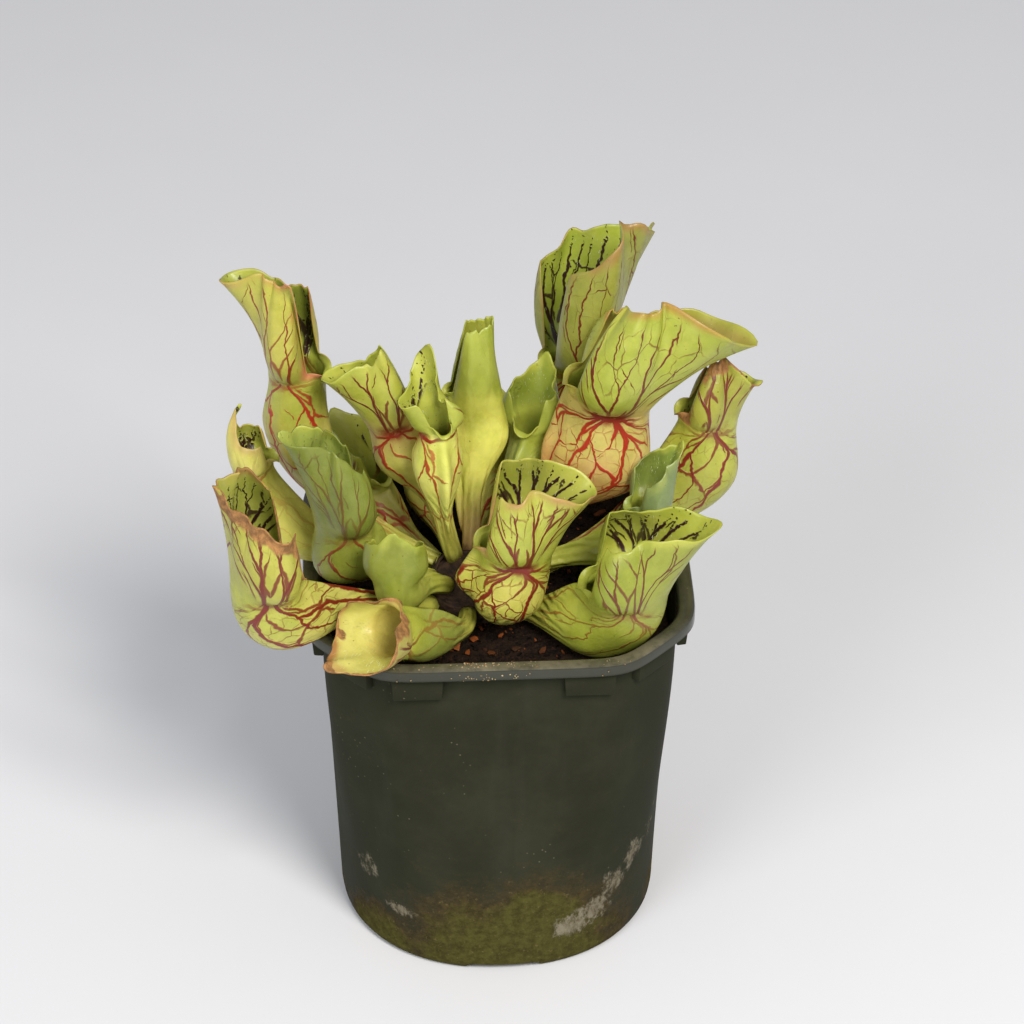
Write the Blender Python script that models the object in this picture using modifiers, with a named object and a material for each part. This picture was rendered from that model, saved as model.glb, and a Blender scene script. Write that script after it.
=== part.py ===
"""A mountain purple pitcher plant (Sarracenia purpurea var. montana) growing in a square black nursery pot.

The frame is in metres with +Z up. The origin is the middle of the pot's underside. The front of the
plant, as it is usually looked at, faces -Y. Sizes below are in millimetres and go through MM once,
where the vertices are placed.
"""

import math

import bmesh
import bpy
from mathutils import Matrix, Vector, noise

MM = 0.001
FIT_GAP = 0.3  # clearance between pieces that touch on the real plant

# The pot: outside sizes over the turned-out rim
POT_WIDTH = 130.0
POT_HEIGHT = 140.0
RIM_CORNER_CUT = 24.0
EDGE_SHARPNESS = 26.0  # how tightly the outline turns from a side into a cut corner
RIM_DROP = 4.5
RIM_SHELF = 5.0
BODY_TOP_HALF = 59.5
BASE_HALF = 55.0
BASE_ROUNDNESS = 2.2
WALL = 1.6
FLOOR = 4.5
FOOT_BEVEL = 3.0
POT_SEGMENTS = 48
TAB_HEIGHT = 8.5
TAB_DEPTH = 3.0
TAB_ROOT = 0.9  # how deep a tab reaches into the wall
TAB_LENGTH = 17.0
CORNER_TAB_LENGTH = 16.0
TAB_DROP = 1.2  # from the rim's underside to a tab's top
SLOT_WIDTH = 24.0
SLOT_HEIGHT = 2.6
DRAIN_RADIUS = 4.0
DRAIN_ASIDE = 22.0
DRAIN_FORWARD = 36.0

# The peat and the rhizome that the pitchers grow from
SOIL_LEVEL = 126.0
SOIL_RING_COUNT = 9
PEAT_GAP = 0.8  # between the peat and the pot's wall
CROWN_X = -9.0
CROWN_Y = -9.0
CROWN_Z = 131.0
CROWN_RADIUS = 15.0

# Every pitcher
LEAF_THICKNESS = 0.9
HOOD_STEPS = 6  # short steps that make up each row of a hood's curve


def remove_everything():
    for item in list(bpy.data.objects):
        bpy.data.objects.remove(item, do_unlink=True)


def make_material(name, colour, roughness, metallic=0.0):
    material = bpy.data.materials.new(name)
    material.use_nodes = True
    shader = material.node_tree.nodes["Principled BSDF"]
    shader.inputs["Base Color"].default_value = (*colour, 1.0)
    shader.inputs["Roughness"].default_value = roughness
    shader.inputs["Metallic"].default_value = metallic
    return material


def add_object(name, bm, material, collection):
    mesh = bpy.data.meshes.new(name)
    bm.to_mesh(mesh)
    bm.free()
    mesh.shade_smooth()
    mesh.set_sharp_from_angle(angle=math.radians(40))
    item = bpy.data.objects.new(name, mesh)
    item.data.materials.append(material)
    collection.objects.link(item)
    return item


def smooth(t):
    t = min(max(t, 0.0), 1.0)
    return t * t * (3.0 - 2.0 * t)


def eased(keys, x):
    """Reads a curve that eases from one (place, value) key to the next."""
    for (x0, y0), (x1, y1) in zip(keys, keys[1:]):
        if x <= x1:
            return y0 + (y1 - y0) * smooth((x - x0) / (x1 - x0))
    return keys[-1][1]


# The pot


def cut_square_radius(angle, half, cut):
    """Distance from the middle to a square's edge whose corners are cut off at 45 degrees."""
    c, s = abs(math.cos(angle)), abs(math.sin(angle))
    sides = (c / half, s / half, (c + s) / (2 * half - cut))
    return sum(side**EDGE_SHARPNESS for side in sides) ** (-1.0 / EDGE_SHARPNESS)


def soft_square_radius(angle, half, roundness):
    """Distance from the middle to the edge of the rounded base."""
    c, s = abs(math.cos(angle)), abs(math.sin(angle))
    return half / (c**roundness + s**roundness) ** (1.0 / roundness)


def body_radius(angle, z, inset=0.0):
    """The pot wall's outline at a height: round at the base, a square with cut corners under the rim."""
    t = min(max(z / (POT_HEIGHT - RIM_DROP), 0.0), 1.0)
    half = BASE_HALF + (BODY_TOP_HALF - BASE_HALF) * t
    foot = soft_square_radius(angle, half, BASE_ROUNDNESS)
    top_cut = RIM_CORNER_CUT - 2.0
    top = cut_square_radius(angle, half, top_cut)
    return foot + (top - foot) * smooth(1.15 * t) - inset


def rim_radius(angle, inset=0.0):
    half = POT_WIDTH / 2 - inset
    return cut_square_radius(angle, half, RIM_CORNER_CUT - inset * 0.6)


def pot_profile():
    """The pot's section, as (radius rule, height), from the floor's middle outside round to the inside."""
    rows = []
    rows.append((lambda a: body_radius(a, 0.0, FOOT_BEVEL), 0.0))
    for z in (FOOT_BEVEL, 40.0, 80.0, 115.0, POT_HEIGHT - RIM_DROP):
        rows.append((lambda a, z=z: body_radius(a, z), z))
    rows.append((lambda a: rim_radius(a), POT_HEIGHT - RIM_DROP))
    rows.append((lambda a: rim_radius(a), POT_HEIGHT - 0.8))
    rows.append((lambda a: rim_radius(a, 0.8), POT_HEIGHT))
    rows.append((lambda a: rim_radius(a, RIM_SHELF), POT_HEIGHT - 0.4))
    rows.append((lambda a: rim_radius(a, RIM_SHELF + 0.9), POT_HEIGHT - 1.6))
    for z in (115.0, 80.0, 40.0, FLOOR):
        rows.append((lambda a, z=z: body_radius(a, z, WALL), z))
    return rows


def build_pot(collection, cutters, material):
    bm = bmesh.new()
    bmesh.ops.create_circle(bm, cap_ends=False, radius=1.0, segments=POT_SEGMENTS)
    profile = pot_profile()

    def place(verts, row):
        rule, z = row
        for vert in verts:
            angle = math.atan2(vert.co.y, vert.co.x)
            radius = rule(angle) * MM
            vert.co = (radius * math.cos(angle), radius * math.sin(angle), z * MM)

    ring = list(bm.verts)
    edges = list(bm.edges)
    place(ring, profile[0])
    bottom_edges = edges
    for row in profile[1:]:
        made = bmesh.ops.extrude_edge_only(bm, edges=edges)["geom"]
        edges = [g for g in made if isinstance(g, bmesh.types.BMEdge)]
        ring = [g for g in made if isinstance(g, bmesh.types.BMVert)]
        place(ring, row)
    bmesh.ops.contextual_create(bm, geom=bottom_edges)
    bmesh.ops.contextual_create(bm, geom=edges)
    bmesh.ops.recalc_face_normals(bm, faces=bm.faces)
    pot = add_object("pot", bm, material, collection)

    # Stacking tabs under the rim: two on every side and one across every cut corner
    out = (TAB_DEPTH - TAB_ROOT) / 2
    z = POT_HEIGHT - RIM_DROP - TAB_HEIGHT / 2 - TAB_DROP
    reach = BODY_TOP_HALF - RIM_CORNER_CUT * 0.95 - TAB_LENGTH / 2
    corner = BODY_TOP_HALF - (RIM_CORNER_CUT - 2.0) / 2 + out * math.sqrt(0.5)
    for side in range(4):
        angle = side * math.pi / 2
        turn = Matrix.Rotation(angle, 4, "Z")
        for end in (-1, 1):
            tab = make_box(f"tab_{side}_{end}", cutters, (TAB_LENGTH, TAB_DEPTH + TAB_ROOT, TAB_HEIGHT),
                           turn @ Vector((end * reach, -BODY_TOP_HALF - out, z)), angle)
            boolean(pot, tab, "UNION")
        tab = make_box(f"corner_tab_{side}", cutters, (CORNER_TAB_LENGTH, TAB_DEPTH + TAB_ROOT, TAB_HEIGHT),
                       turn @ Vector((corner, -corner, z)), angle + math.pi / 4)
        boolean(pot, tab, "UNION")

    # Drainage: a slot under the middle of each side and a hole beside each slot
    for side in range(4):
        turn = Matrix.Rotation(side * math.pi / 2, 4, "Z")
        slot = make_box(f"slot_{side}", cutters, (SLOT_WIDTH, 30.0, 2 * SLOT_HEIGHT),
                        turn @ Vector((0.0, -BASE_HALF, 0.0)), side * math.pi / 2)
        boolean(pot, slot, "DIFFERENCE")
        for end in (-1, 1):
            drain = make_cylinder(f"drain_{side}_{end}", cutters, DRAIN_RADIUS, 3 * FLOOR,
                                  turn @ Vector((end * DRAIN_ASIDE, -DRAIN_FORWARD, FLOOR / 2)))
            boolean(pot, drain, "DIFFERENCE")
    return pot


def make_box(name, cutters, size, middle, turn):
    bm = bmesh.new()
    bmesh.ops.create_cube(bm, size=1.0)
    bmesh.ops.scale(bm, vec=[s * MM for s in size], verts=bm.verts)
    item = add_cutter(name, bm, cutters)
    item.location = Vector(middle) * MM
    item.rotation_euler.z = turn
    return item


def make_cylinder(name, cutters, radius, depth, middle):
    bm = bmesh.new()
    bmesh.ops.create_cone(bm, cap_ends=True, segments=16, radius1=radius * MM, radius2=radius * MM,
                          depth=depth * MM)
    item = add_cutter(name, bm, cutters)
    item.location = Vector(middle) * MM
    return item


def add_cutter(name, bm, cutters):
    mesh = bpy.data.meshes.new(name)
    bm.to_mesh(mesh)
    bm.free()
    item = bpy.data.objects.new(name, mesh)
    item.hide_render = True
    item.display_type = "WIRE"
    cutters.objects.link(item)
    return item


def boolean(target, cutter, operation):
    modifier = target.modifiers.new(cutter.name, "BOOLEAN")
    modifier.operation = operation
    modifier.object = cutter
    modifier.solver = "MANIFOLD"


# The peat and the rhizome


def soil_height(x, y):
    """The peat's lumpy top, lower towards the wall and pulled up a little at the crown."""
    lumps = 0.8 * noise.noise(Vector((x, y, 0.0)) / 11.0) + 0.4 * noise.noise(Vector((x, y, 9.0)) / 4.5)
    away = math.hypot(x - CROWN_X, y - CROWN_Y)
    return SOIL_LEVEL + lumps - 1.6 * smooth((away - 40) / 25)


def crown_radius(direction, grow=0.0):
    """The rhizome's knobbly radius in a direction."""
    lump = 1.0 + 0.05 * noise.noise(direction * 1.7)
    return CROWN_RADIUS * lump + grow


def build_peat(collection, cutters, material):
    bm = bmesh.new()
    bmesh.ops.create_circle(bm, cap_ends=False, radius=1.0, segments=POT_SEGMENTS)
    gap = WALL + PEAT_GAP
    edges = list(bm.edges)
    bottom_edges = edges

    def wall_ring(verts, z, share=1.0):
        for vert in verts:
            angle = math.atan2(vert.co.y, vert.co.x)
            radius = body_radius(angle, z, gap) * share
            x, y = radius * math.cos(angle), radius * math.sin(angle)
            vert.co = (x * MM, y * MM, z * MM)

    wall_ring(list(bm.verts), FLOOR + FIT_GAP)
    for z in (40.0, 80.0, 115.0):
        made = bmesh.ops.extrude_edge_only(bm, edges=edges)["geom"]
        edges = [g for g in made if isinstance(g, bmesh.types.BMEdge)]
        wall_ring([g for g in made if isinstance(g, bmesh.types.BMVert)], z)
    for k in range(SOIL_RING_COUNT):
        made = bmesh.ops.extrude_edge_only(bm, edges=edges)["geom"]
        edges = [g for g in made if isinstance(g, bmesh.types.BMEdge)]
        verts = [g for g in made if isinstance(g, bmesh.types.BMVert)]
        share = 1.0 - k / SOIL_RING_COUNT
        wall_ring(verts, SOIL_LEVEL - 3.0, share)
        for vert in verts:
            vert.co.z = soil_height(vert.co.x / MM, vert.co.y / MM) * MM
    bmesh.ops.contextual_create(bm, geom=bottom_edges)
    bmesh.ops.contextual_create(bm, geom=edges)
    bmesh.ops.recalc_face_normals(bm, faces=bm.faces)
    peat = add_object("peat", bm, material, collection)

    hole = bmesh.new()
    bmesh.ops.create_icosphere(hole, subdivisions=3, radius=1.0)
    shape_crown(hole, 1.5 * FIT_GAP)
    boolean(peat, add_cutter("crown_hole", hole, cutters), "DIFFERENCE")
    return peat


def shape_crown(bm, grow):
    for vert in bm.verts:
        direction = vert.co.normalized()
        reach = crown_radius(direction, grow)
        vert.co = Vector((CROWN_X, CROWN_Y, CROWN_Z)) * MM + direction * reach * MM


def build_crown(collection, material):
    bm = bmesh.new()
    bmesh.ops.create_icosphere(bm, subdivisions=3, radius=1.0)
    shape_crown(bm, 0.0)
    return add_object("crown", bm, material, collection)


# The pitchers

PITCHER = dict(
    tier=20.0,  # how high on the rhizome the leaf starts, in degrees above its equator
    start=35.0,  # rise of the stalk where it leaves the rhizome
    rise=80.0,  # rise of the tube at its mouth: 90 is straight up
    pull=(0.45, 0.35),  # how far the two end directions hold, as shares of the straight distance
    stalk=2.6, stalk_end=0.22,  # radius, and the share of the length that stays thin
    belly=11.0, belly_at=0.72, hang=0.35, neck=8.0, squeeze=0.9,
    wing=2.5,  # ridge along the side that faces the plant's middle
    hood=26.0, lobe=24.0, corner=0.95, tip=3.0,  # heights over the mouth: back, sides, front end, point
    opening=142.0, lip=2.5,  # where the hood ends at each side of the front, and the lip's height there
    lean=(30.0, 60.0), flare=(15.0, -25.0), shoulder=45.0,  # outward lean of the back and of the sides
    tilt=0.0, skew=0.0,  # sideways lean of the whole hood, and how much taller its one side is
    wave=4.0, waves=7,  # the rim's ripple
    columns=14, tube_rows=8, hood_rows=5,
)

MEDIUM = dict(columns=12, tube_rows=7)
SMALL = dict(columns=12, tube_rows=6, hood_rows=4)

PITCHERS = {
    "pitcher_back_left_tall": dict(
        heading=150, reach=64, height=70, facing=162, tier=30, start=12, rise=88, pull=(0.62, 0.5),
        belly=10.5, belly_at=0.8, neck=9.5, hood=37, lobe=36, corner=1.0, tip=0, opening=128.0,
        lean=(2, 42), flare=(4, -20), skew=0.18),
    "pitcher_left_upper": dict(
        heading=143, leave=125, reach=30, height=60, facing=190, tier=50, start=60, rise=74, belly=9.0,
        neck=9.0, wing=1.0, hood=26, lobe=25, corner=1.15, tip=0, lean=(8, 34), flare=(8, -20),
        shoulder=25, skew=0.15, **MEDIUM),
    "pitcher_centre_left": dict(
        heading=175, reach=10, height=67, facing=105, tier=70, start=75, rise=86, belly=9, neck=6.2,
        wing=4, hood=24, lobe=14, lean=(-2, 6), tilt=50, wave=14, waves=5, **MEDIUM),
    "pitcher_centre_upright": dict(
        heading=84, reach=28, height=61, facing=2, tier=62, start=62, rise=89, belly=9.0, neck=9.2,
        wing=4, hood=30, lobe=28, corner=1.0, tip=0, opening=155, lean=(-12, 0), flare=(-4, -16),
        shoulder=10, wave=1, **MEDIUM),
    "pitcher_centre_right": dict(
        heading=58, reach=43, height=43, facing=65, tier=35, start=58, rise=88, belly=8.0, neck=8,
        hood=18, lobe=15, tip=4, lean=(10, 20), **MEDIUM),
    "pitcher_right_large": dict(
        heading=27, reach=53.5, height=63, facing=-9, tier=25, start=38, rise=75, belly=16.5,
        belly_at=0.64, neck=15, hood=41, lobe=39, lean=(22, 50), flare=(20, -35), skew=-0.28),
    "pitcher_back_right_tall": dict(
        heading=62, leave=58, reach=78, height=46, facing=16, tier=5, start=12, rise=84, belly=10.5,
        neck=8.5, hood=51, lobe=58, corner=0.75, tip=6, lean=(5, 30), flare=(26, -12), skew=-0.2),
    "pitcher_far_right": dict(
        heading=19, leave=14, reach=86, height=50, facing=-5, tier=5, start=15, rise=84, belly=12.5,
        belly_at=0.78, neck=10.0, hood=16, lobe=23, lean=(4, 30), flare=(0, -40), skew=-0.25),
    "pitcher_right_young": dict(
        heading=0, reach=60, height=33, facing=15, tier=30, start=18, rise=88, belly=8, neck=7, hood=22,
        lobe=19, lean=(0, 20), **MEDIUM),
    "pitcher_front_right": dict(
        heading=-34, leave=-38, reach=60, height=24.5, facing=-10, tier=2, start=8, rise=90,
        pull=(0.45, 0.3), stalk=3.2, stalk_end=0.1, belly=13.0, belly_at=0.57, hang=0.15, neck=14.5,
        hood=29, lobe=27, tip=5, lean=(18, 42), flare=(15, -40)),
    "pitcher_front_centre": dict(
        heading=-58, leave=-70, reach=27, height=35, facing=-4, tier=16, start=14, rise=86,
        pull=(0.45, 0.25), stalk=3.5, stalk_end=0.05, belly=12, belly_at=0.5, hang=0.0, neck=12.5,
        wing=5, hood=27, lobe=30, tip=0, lean=(14, 44), flare=(15, -25), skew=-0.02),
    "pitcher_front_left_lying": dict(
        heading=239, leave=265, reach=53, height=19, facing=221, tier=2, start=4, rise=20, belly=8.0,
        neck=9.5, hood=25, lobe=13, lean=(-4, 4), flare=(22, 8), **MEDIUM),
    "pitcher_front_left_small": dict(
        heading=227, reach=37, height=27, facing=265, tier=36, start=36, rise=90, belly=7.5, hang=0.1,
        neck=7.5, hood=22, lobe=16, corner=0.8, tip=0, lean=(-8, 0), flare=(14, -10), wave=2, **MEDIUM),
    "pitcher_left_dull": dict(
        heading=190, reach=42, height=36, facing=200, tier=28, start=25, rise=88, belly=11.5, neck=10.0,
        hood=39, lobe=35, corner=0.75, lean=(5, 22), flare=(15, -25)),
    "pitcher_far_left": dict(
        heading=213, reach=80, height=38, facing=198, tier=5, start=30, rise=90, pull=(0.45, 0.25),
        belly=12.0, neck=11.5, hood=40, lobe=37, corner=0.85, lean=(-5, 18), flare=(15, -25),
        skew=-0.12),
    "pitcher_left_pointed": dict(
        heading=172, reach=72, height=48, facing=182, tier=3, start=18, rise=85, belly=10.0, neck=7.0,
        hood=24, lobe=12, lean=(14, -40), **MEDIUM),
    "pitcher_rear_left": dict(
        heading=127, reach=54, height=18, facing=130, tier=3, start=16, rise=85, belly=8.5, hang=0.1,
        neck=7.5, hood=20, lobe=14, lean=(20, 40), flare=(6, 0), shoulder=15, **SMALL),
    "pitcher_rear_middle": dict(
        heading=105, reach=54, height=17, facing=105, tier=3, start=14, rise=85, belly=8.5, hang=0.1,
        neck=7.5, hood=20, lobe=14, lean=(20, 40), flare=(6, 0), shoulder=15, **SMALL),
    "pitcher_rear_right": dict(
        heading=82, reach=54, height=18, facing=80, tier=3, start=14, rise=85, belly=8.5, hang=0.1,
        neck=7.5, hood=20, lobe=14, lean=(20, 40), flare=(6, 0), shoulder=15, **SMALL),
}


def azimuth(degrees):
    a = math.radians(degrees)
    return Vector((math.cos(a), math.sin(a), 0.0))


def climb(direction, degrees):
    a = math.radians(degrees)
    return direction * math.cos(a) + Vector((0.0, 0.0, math.sin(a)))


def spine(leaf):
    """The four control points of a pitcher's middle line, from the rhizome to the mouth."""
    out = azimuth(leaf["heading"])
    crown = Vector((CROWN_X, CROWN_Y, CROWN_Z))
    root = climb(azimuth(leaf.get("leave", leaf["heading"])), leaf["tier"])
    tangent = climb(azimuth(leaf.get("leave", leaf["heading"])), leaf["start"])
    seat = FIT_GAP + LEAF_THICKNESS / 2 + leaf["stalk"] * math.sin(root.angle(tangent))
    p0 = crown + root * (crown_radius(root) + seat)
    p3 = crown + out * leaf["reach"] + Vector((0.0, 0.0, leaf["height"] - 1.0))
    span = (p3 - p0).length
    p1 = p0 + tangent * span * leaf["pull"][0]
    p2 = p3 - climb(azimuth(leaf["facing"]), leaf["rise"]) * span * leaf["pull"][1]
    return p0, p1, p2, p3


def bezier(points, t):
    p0, p1, p2, p3 = points
    s = 1.0 - t
    place = p0 * s**3 + p1 * 3 * s * s * t + p2 * 3 * s * t * t + p3 * t**3
    heading = (p1 - p0) * s * s + (p2 - p1) * 2 * s * t + (p3 - p2) * t * t
    return place, heading.normalized()


def frame_at(leaf, points, t):
    """Place, direction along the tube, direction of its back, and sideways."""
    place, along = bezier(points, t)
    side = Vector((0.0, 0.0, 1.0)).cross(azimuth(leaf["facing"]))
    side = (side - along * side.dot(along)).normalized()
    back = side.cross(along)
    return place, along, back, side


def tube_point(leaf, points, t, v):
    """A point of the tube: v is 0 at the back and half a turn at the wing in front."""
    place, along, back, side = frame_at(leaf, points, t)
    stalk, belly, neck, mid = leaf["stalk"], leaf["belly"], leaf["neck"], leaf["belly_at"]
    thin = leaf["stalk_end"]
    width = eased([(0, stalk), (thin, stalk * 1.05), (mid, belly * 0.96), (1.0, neck)], t)
    deep = eased([(0, stalk), (thin, stalk), (mid, belly), (0.97, neck * 0.93), (1.0, neck * 0.95)], t)
    shift = leaf["hang"] * (deep - stalk) * smooth(t / mid) * (1 - smooth((t - mid) / (1.04 - mid)))
    x = math.cos(v) * deep + shift
    y = math.sin(v) * width * (1.0 - (1.0 - leaf["squeeze"]) * smooth(1.5 * t))
    ridge = leaf["wing"] * math.sin(math.pi * min(max((t - 0.06) / 0.9, 0.0), 1.0)) ** 0.7
    from_front = abs(abs(math.remainder(v, 2 * math.pi)) - math.pi)
    x -= ridge * math.exp(-((from_front / 0.2) ** 2))
    return place + back * x + side * y


def hood_height(leaf, v):
    a = math.degrees(abs(math.remainder(v, 2 * math.pi)))
    hood, lobe, lip, end = leaf["hood"], leaf["lobe"], leaf["lip"], leaf["opening"]
    tall = eased([(0, hood), (75, lobe), (end - 22, lobe * leaf["corner"]), (end, lip * 1.4), (180, lip)], a)
    skew = 1.0 + leaf["skew"] * math.sin(v) * (1 - smooth((a - end + 22) / 22.0))
    return tall * skew + leaf["tip"] * math.exp(-((a / 11.0) ** 2))


def hood_lean(leaf, v, s):
    """How far a hood column leans outwards, in degrees, at a share s of its height."""
    a = math.degrees(abs(math.remainder(v, 2 * math.pi)))
    end = leaf["opening"]
    back = leaf["lean"][0] + (leaf["lean"][1] - leaf["lean"][0]) * s
    sides = leaf["flare"][0] + (leaf["flare"][1] - leaf["flare"][0]) * s
    share = smooth(a / 70.0)
    lean = back * (1 - share) + sides * share
    lean += leaf["tilt"] * s * math.sin(v)
    ear = math.exp(-(((a - (end - 42)) / 34.0) ** 2))
    lean += leaf["shoulder"] * ear * (1 - smooth(s / 0.45))
    lip = smooth((a - end) / (180.0 - end))
    lean = lean * (1 - lip) + (40.0 + 120.0 * s) * lip
    return lean + leaf["wave"] * s * s * math.sin(leaf["waves"] * v) * (1 - lip)


def hood_points(leaf, points, v, rows):
    """One column of the hood, from the mouth up, as a list of rows + 1 points."""
    place, along, back, side = frame_at(leaf, points, 1.0)
    out = back * math.cos(v) + side * math.sin(v)
    here = tube_point(leaf, points, 1.0, v)
    step = hood_height(leaf, v) / (rows * HOOD_STEPS)
    column = [here]
    for row in range(rows):
        for k in range(HOOD_STEPS):
            s = (row + (k + 0.5) / HOOD_STEPS) / rows
            a = math.radians(hood_lean(leaf, v, s))
            here = here + (along * math.cos(a) + out * math.sin(a)) * step
        column.append(here)
    return column


def build_pitcher(name, values, collection, material):
    leaf = {**PITCHER, **values}
    points = spine(leaf)
    columns, tube_rows, hood_rows = leaf["columns"], leaf["tube_rows"], leaf["hood_rows"]
    rows = tube_rows + hood_rows
    bm = bmesh.new()
    bmesh.ops.create_grid(bm, x_segments=columns, y_segments=rows, size=1.0)
    hoods = {}
    for vert in bm.verts:
        column = round((vert.co.x + 1) / 2 * columns)
        row = round((vert.co.y + 1) / 2 * rows)
        v = 2 * math.pi * (column % columns) / columns
        if row <= tube_rows:
            vert.co = tube_point(leaf, points, row / tube_rows, v) * MM
        else:
            if column not in hoods:
                hoods[column] = hood_points(leaf, points, v, hood_rows)
            vert.co = hoods[column][row - tube_rows] * MM
    bmesh.ops.remove_doubles(bm, verts=bm.verts, dist=1e-6)
    base = points[0] * MM
    low = [e for e in bm.edges if e.is_boundary
           and (e.verts[0].co - base).length < 2 * leaf["stalk"] * MM]
    bmesh.ops.contextual_create(bm, geom=low)
    bmesh.ops.triangulate(bm, faces=bm.faces)
    bmesh.ops.recalc_face_normals(bm, faces=bm.faces)
    cap = min(bm.faces, key=lambda f: (f.calc_center_median() - base).length)
    if cap.normal.dot(bezier(points, 0.0)[1]) > 0:
        bmesh.ops.reverse_faces(bm, faces=bm.faces)
    item = add_object(name, bm, material, collection)
    wall = item.modifiers.new("Wall", "SOLIDIFY")
    wall.thickness = LEAF_THICKNESS * MM
    wall.offset = 0.0
    return item


def main():
    remove_everything()
    collection = bpy.data.collections.new("potted_pitcher_plant")
    cutters = bpy.data.collections.new("cutters")
    bpy.context.scene.collection.children.link(collection)
    bpy.context.scene.collection.children.link(cutters)
    plastic = make_material("pot_plastic", (0.035, 0.036, 0.03), 0.5)
    soil = make_material("peat", (0.03, 0.018, 0.012), 0.95)
    root = make_material("rhizome", (0.18, 0.08, 0.05), 0.8)
    green = make_material("pitcher_leaf", (0.42, 0.52, 0.12), 0.4)
    build_pot(collection, cutters, plastic)
    build_peat(collection, cutters, soil)
    build_crown(collection, root)
    for name, values in PITCHERS.items():
        build_pitcher(name, values, collection, green)


main()
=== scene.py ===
# %% [markdown]
# # A purple pitcher plant in its nursery pot
#
# The plant is a low rosette. Each leaf is a pitcher: a thin stalk that swells into a tube, a narrow neck,
# a rolled lip, and an upright hood with a wavy rim. Dark red veins fan out over it from a knot at the
# neck. The solids of the same plant are loaded first. They are true in size and place but coarse and
# plain, so each one is replaced here by a finer piece made from the same measures, and then gets its
# finish.

# %% Load the fixed solids
import math
from functools import partial, reduce

import bmesh
import bpy
import numpy as np
from mathutils import Matrix, Vector, noise


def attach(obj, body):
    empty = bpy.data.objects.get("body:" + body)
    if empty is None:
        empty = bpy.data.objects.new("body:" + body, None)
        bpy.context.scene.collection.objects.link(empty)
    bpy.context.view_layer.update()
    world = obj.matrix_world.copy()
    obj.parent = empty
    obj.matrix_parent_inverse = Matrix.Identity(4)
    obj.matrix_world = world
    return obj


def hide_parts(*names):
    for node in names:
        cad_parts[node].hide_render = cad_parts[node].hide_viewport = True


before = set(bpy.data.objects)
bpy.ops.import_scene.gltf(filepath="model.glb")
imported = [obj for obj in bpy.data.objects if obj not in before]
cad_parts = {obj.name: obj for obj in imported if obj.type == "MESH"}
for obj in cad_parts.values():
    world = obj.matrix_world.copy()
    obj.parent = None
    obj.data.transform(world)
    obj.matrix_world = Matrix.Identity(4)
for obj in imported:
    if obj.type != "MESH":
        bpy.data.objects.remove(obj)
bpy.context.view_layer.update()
MM = 0.001

# %% [markdown]
# ## Camera, light and floor
#
# The photograph was taken from a little above with a long lens. Its camera was found by fitting the pot's
# rim corners and base. The lens is long, so the pot's sides stay almost parallel. The light is a big soft
# source from the front right and a fainter one from the left, and the pale surroundings fill the shadows.

# %% Camera
PHOTO_SIZE = 1024
FOCAL_PIXELS = 4000.0
SENSOR = 36.0
NEAREST_SEEN = 0.05
CAMERA_AZIMUTH = math.radians(-2.757)
CAMERA_ELEVATION = math.radians(35.915)
CAMERA_DISTANCE = 1.338
CAMERA_ASIDE = 0.005584
CAMERA_TARGET_Z = 0.15624


def add_camera():
    target = Vector((CAMERA_ASIDE * math.cos(CAMERA_AZIMUTH), CAMERA_ASIDE * math.sin(CAMERA_AZIMUTH),
                     CAMERA_TARGET_Z))
    back = Vector((math.sin(CAMERA_AZIMUTH) * math.cos(CAMERA_ELEVATION),
                   -math.cos(CAMERA_AZIMUTH) * math.cos(CAMERA_ELEVATION), math.sin(CAMERA_ELEVATION)))
    data = bpy.data.cameras.new("camera")
    data.sensor_width = SENSOR
    data.lens = FOCAL_PIXELS / PHOTO_SIZE * SENSOR
    data.clip_start = NEAREST_SEEN
    camera = bpy.data.objects.new("camera", data)
    camera.location = target + back * CAMERA_DISTANCE
    camera.rotation_euler = (-back).to_track_quat("-Z", "Y").to_euler()
    bpy.context.scene.collection.objects.link(camera)
    bpy.context.scene.camera = camera
    return camera


print("camera at", tuple(round(x, 3) for x in add_camera().location))

# %% Lights and world
LIGHTS = {
    "key": dict(place=(0.45, -1.1, 1.45), size=0.6, power=27.0, colour=(1.0, 0.97, 0.92)),
    "fill": dict(place=(-0.8, -1.1, 1.1), size=0.8, power=10.0, colour=(0.96, 0.98, 1.0)),
}
LIGHT_AIM = Vector((0.0, 0.0, 0.14))
WORLD_COLOUR = (0.86, 0.88, 0.92)
WORLD_STRENGTH = 0.42


def add_light(name, place, size, power, colour):
    data = bpy.data.lights.new(name, "AREA")
    data.shape = "DISK"
    data.size = size
    data.energy = power
    data.color = colour
    light = bpy.data.objects.new(name, data)
    light.location = place
    light.rotation_euler = (LIGHT_AIM - Vector(place)).to_track_quat("-Z", "Y").to_euler()
    bpy.context.scene.collection.objects.link(light)


for name, values in LIGHTS.items():
    add_light(name, **values)
world = bpy.data.worlds.new("studio")
world.use_nodes = True
background = world.node_tree.nodes["Background"].inputs
background["Color"].default_value = (*WORLD_COLOUR, 1.0)
background["Strength"].default_value = WORLD_STRENGTH
bpy.context.scene.world = world
bpy.context.scene.view_settings.view_transform = "Standard"
print("lights:", ", ".join(LIGHTS))

# %% [markdown]
# ## A short way to write shader nodes
#
# Every material below is a net of nodes. Wiring each socket by hand takes many lines, so one small class
# adds a node, sets its values or links, and hands back its output. A Mix node has several sockets of one
# name, so they are picked by number.

# %% Shader wiring
X, Y, Z = range(3)
MIX_SHARE, MIX_FLOATS, MIX_COLOURS, MIX_COLOUR_OUT = 0, (2, 3), (6, 7), 2


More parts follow.
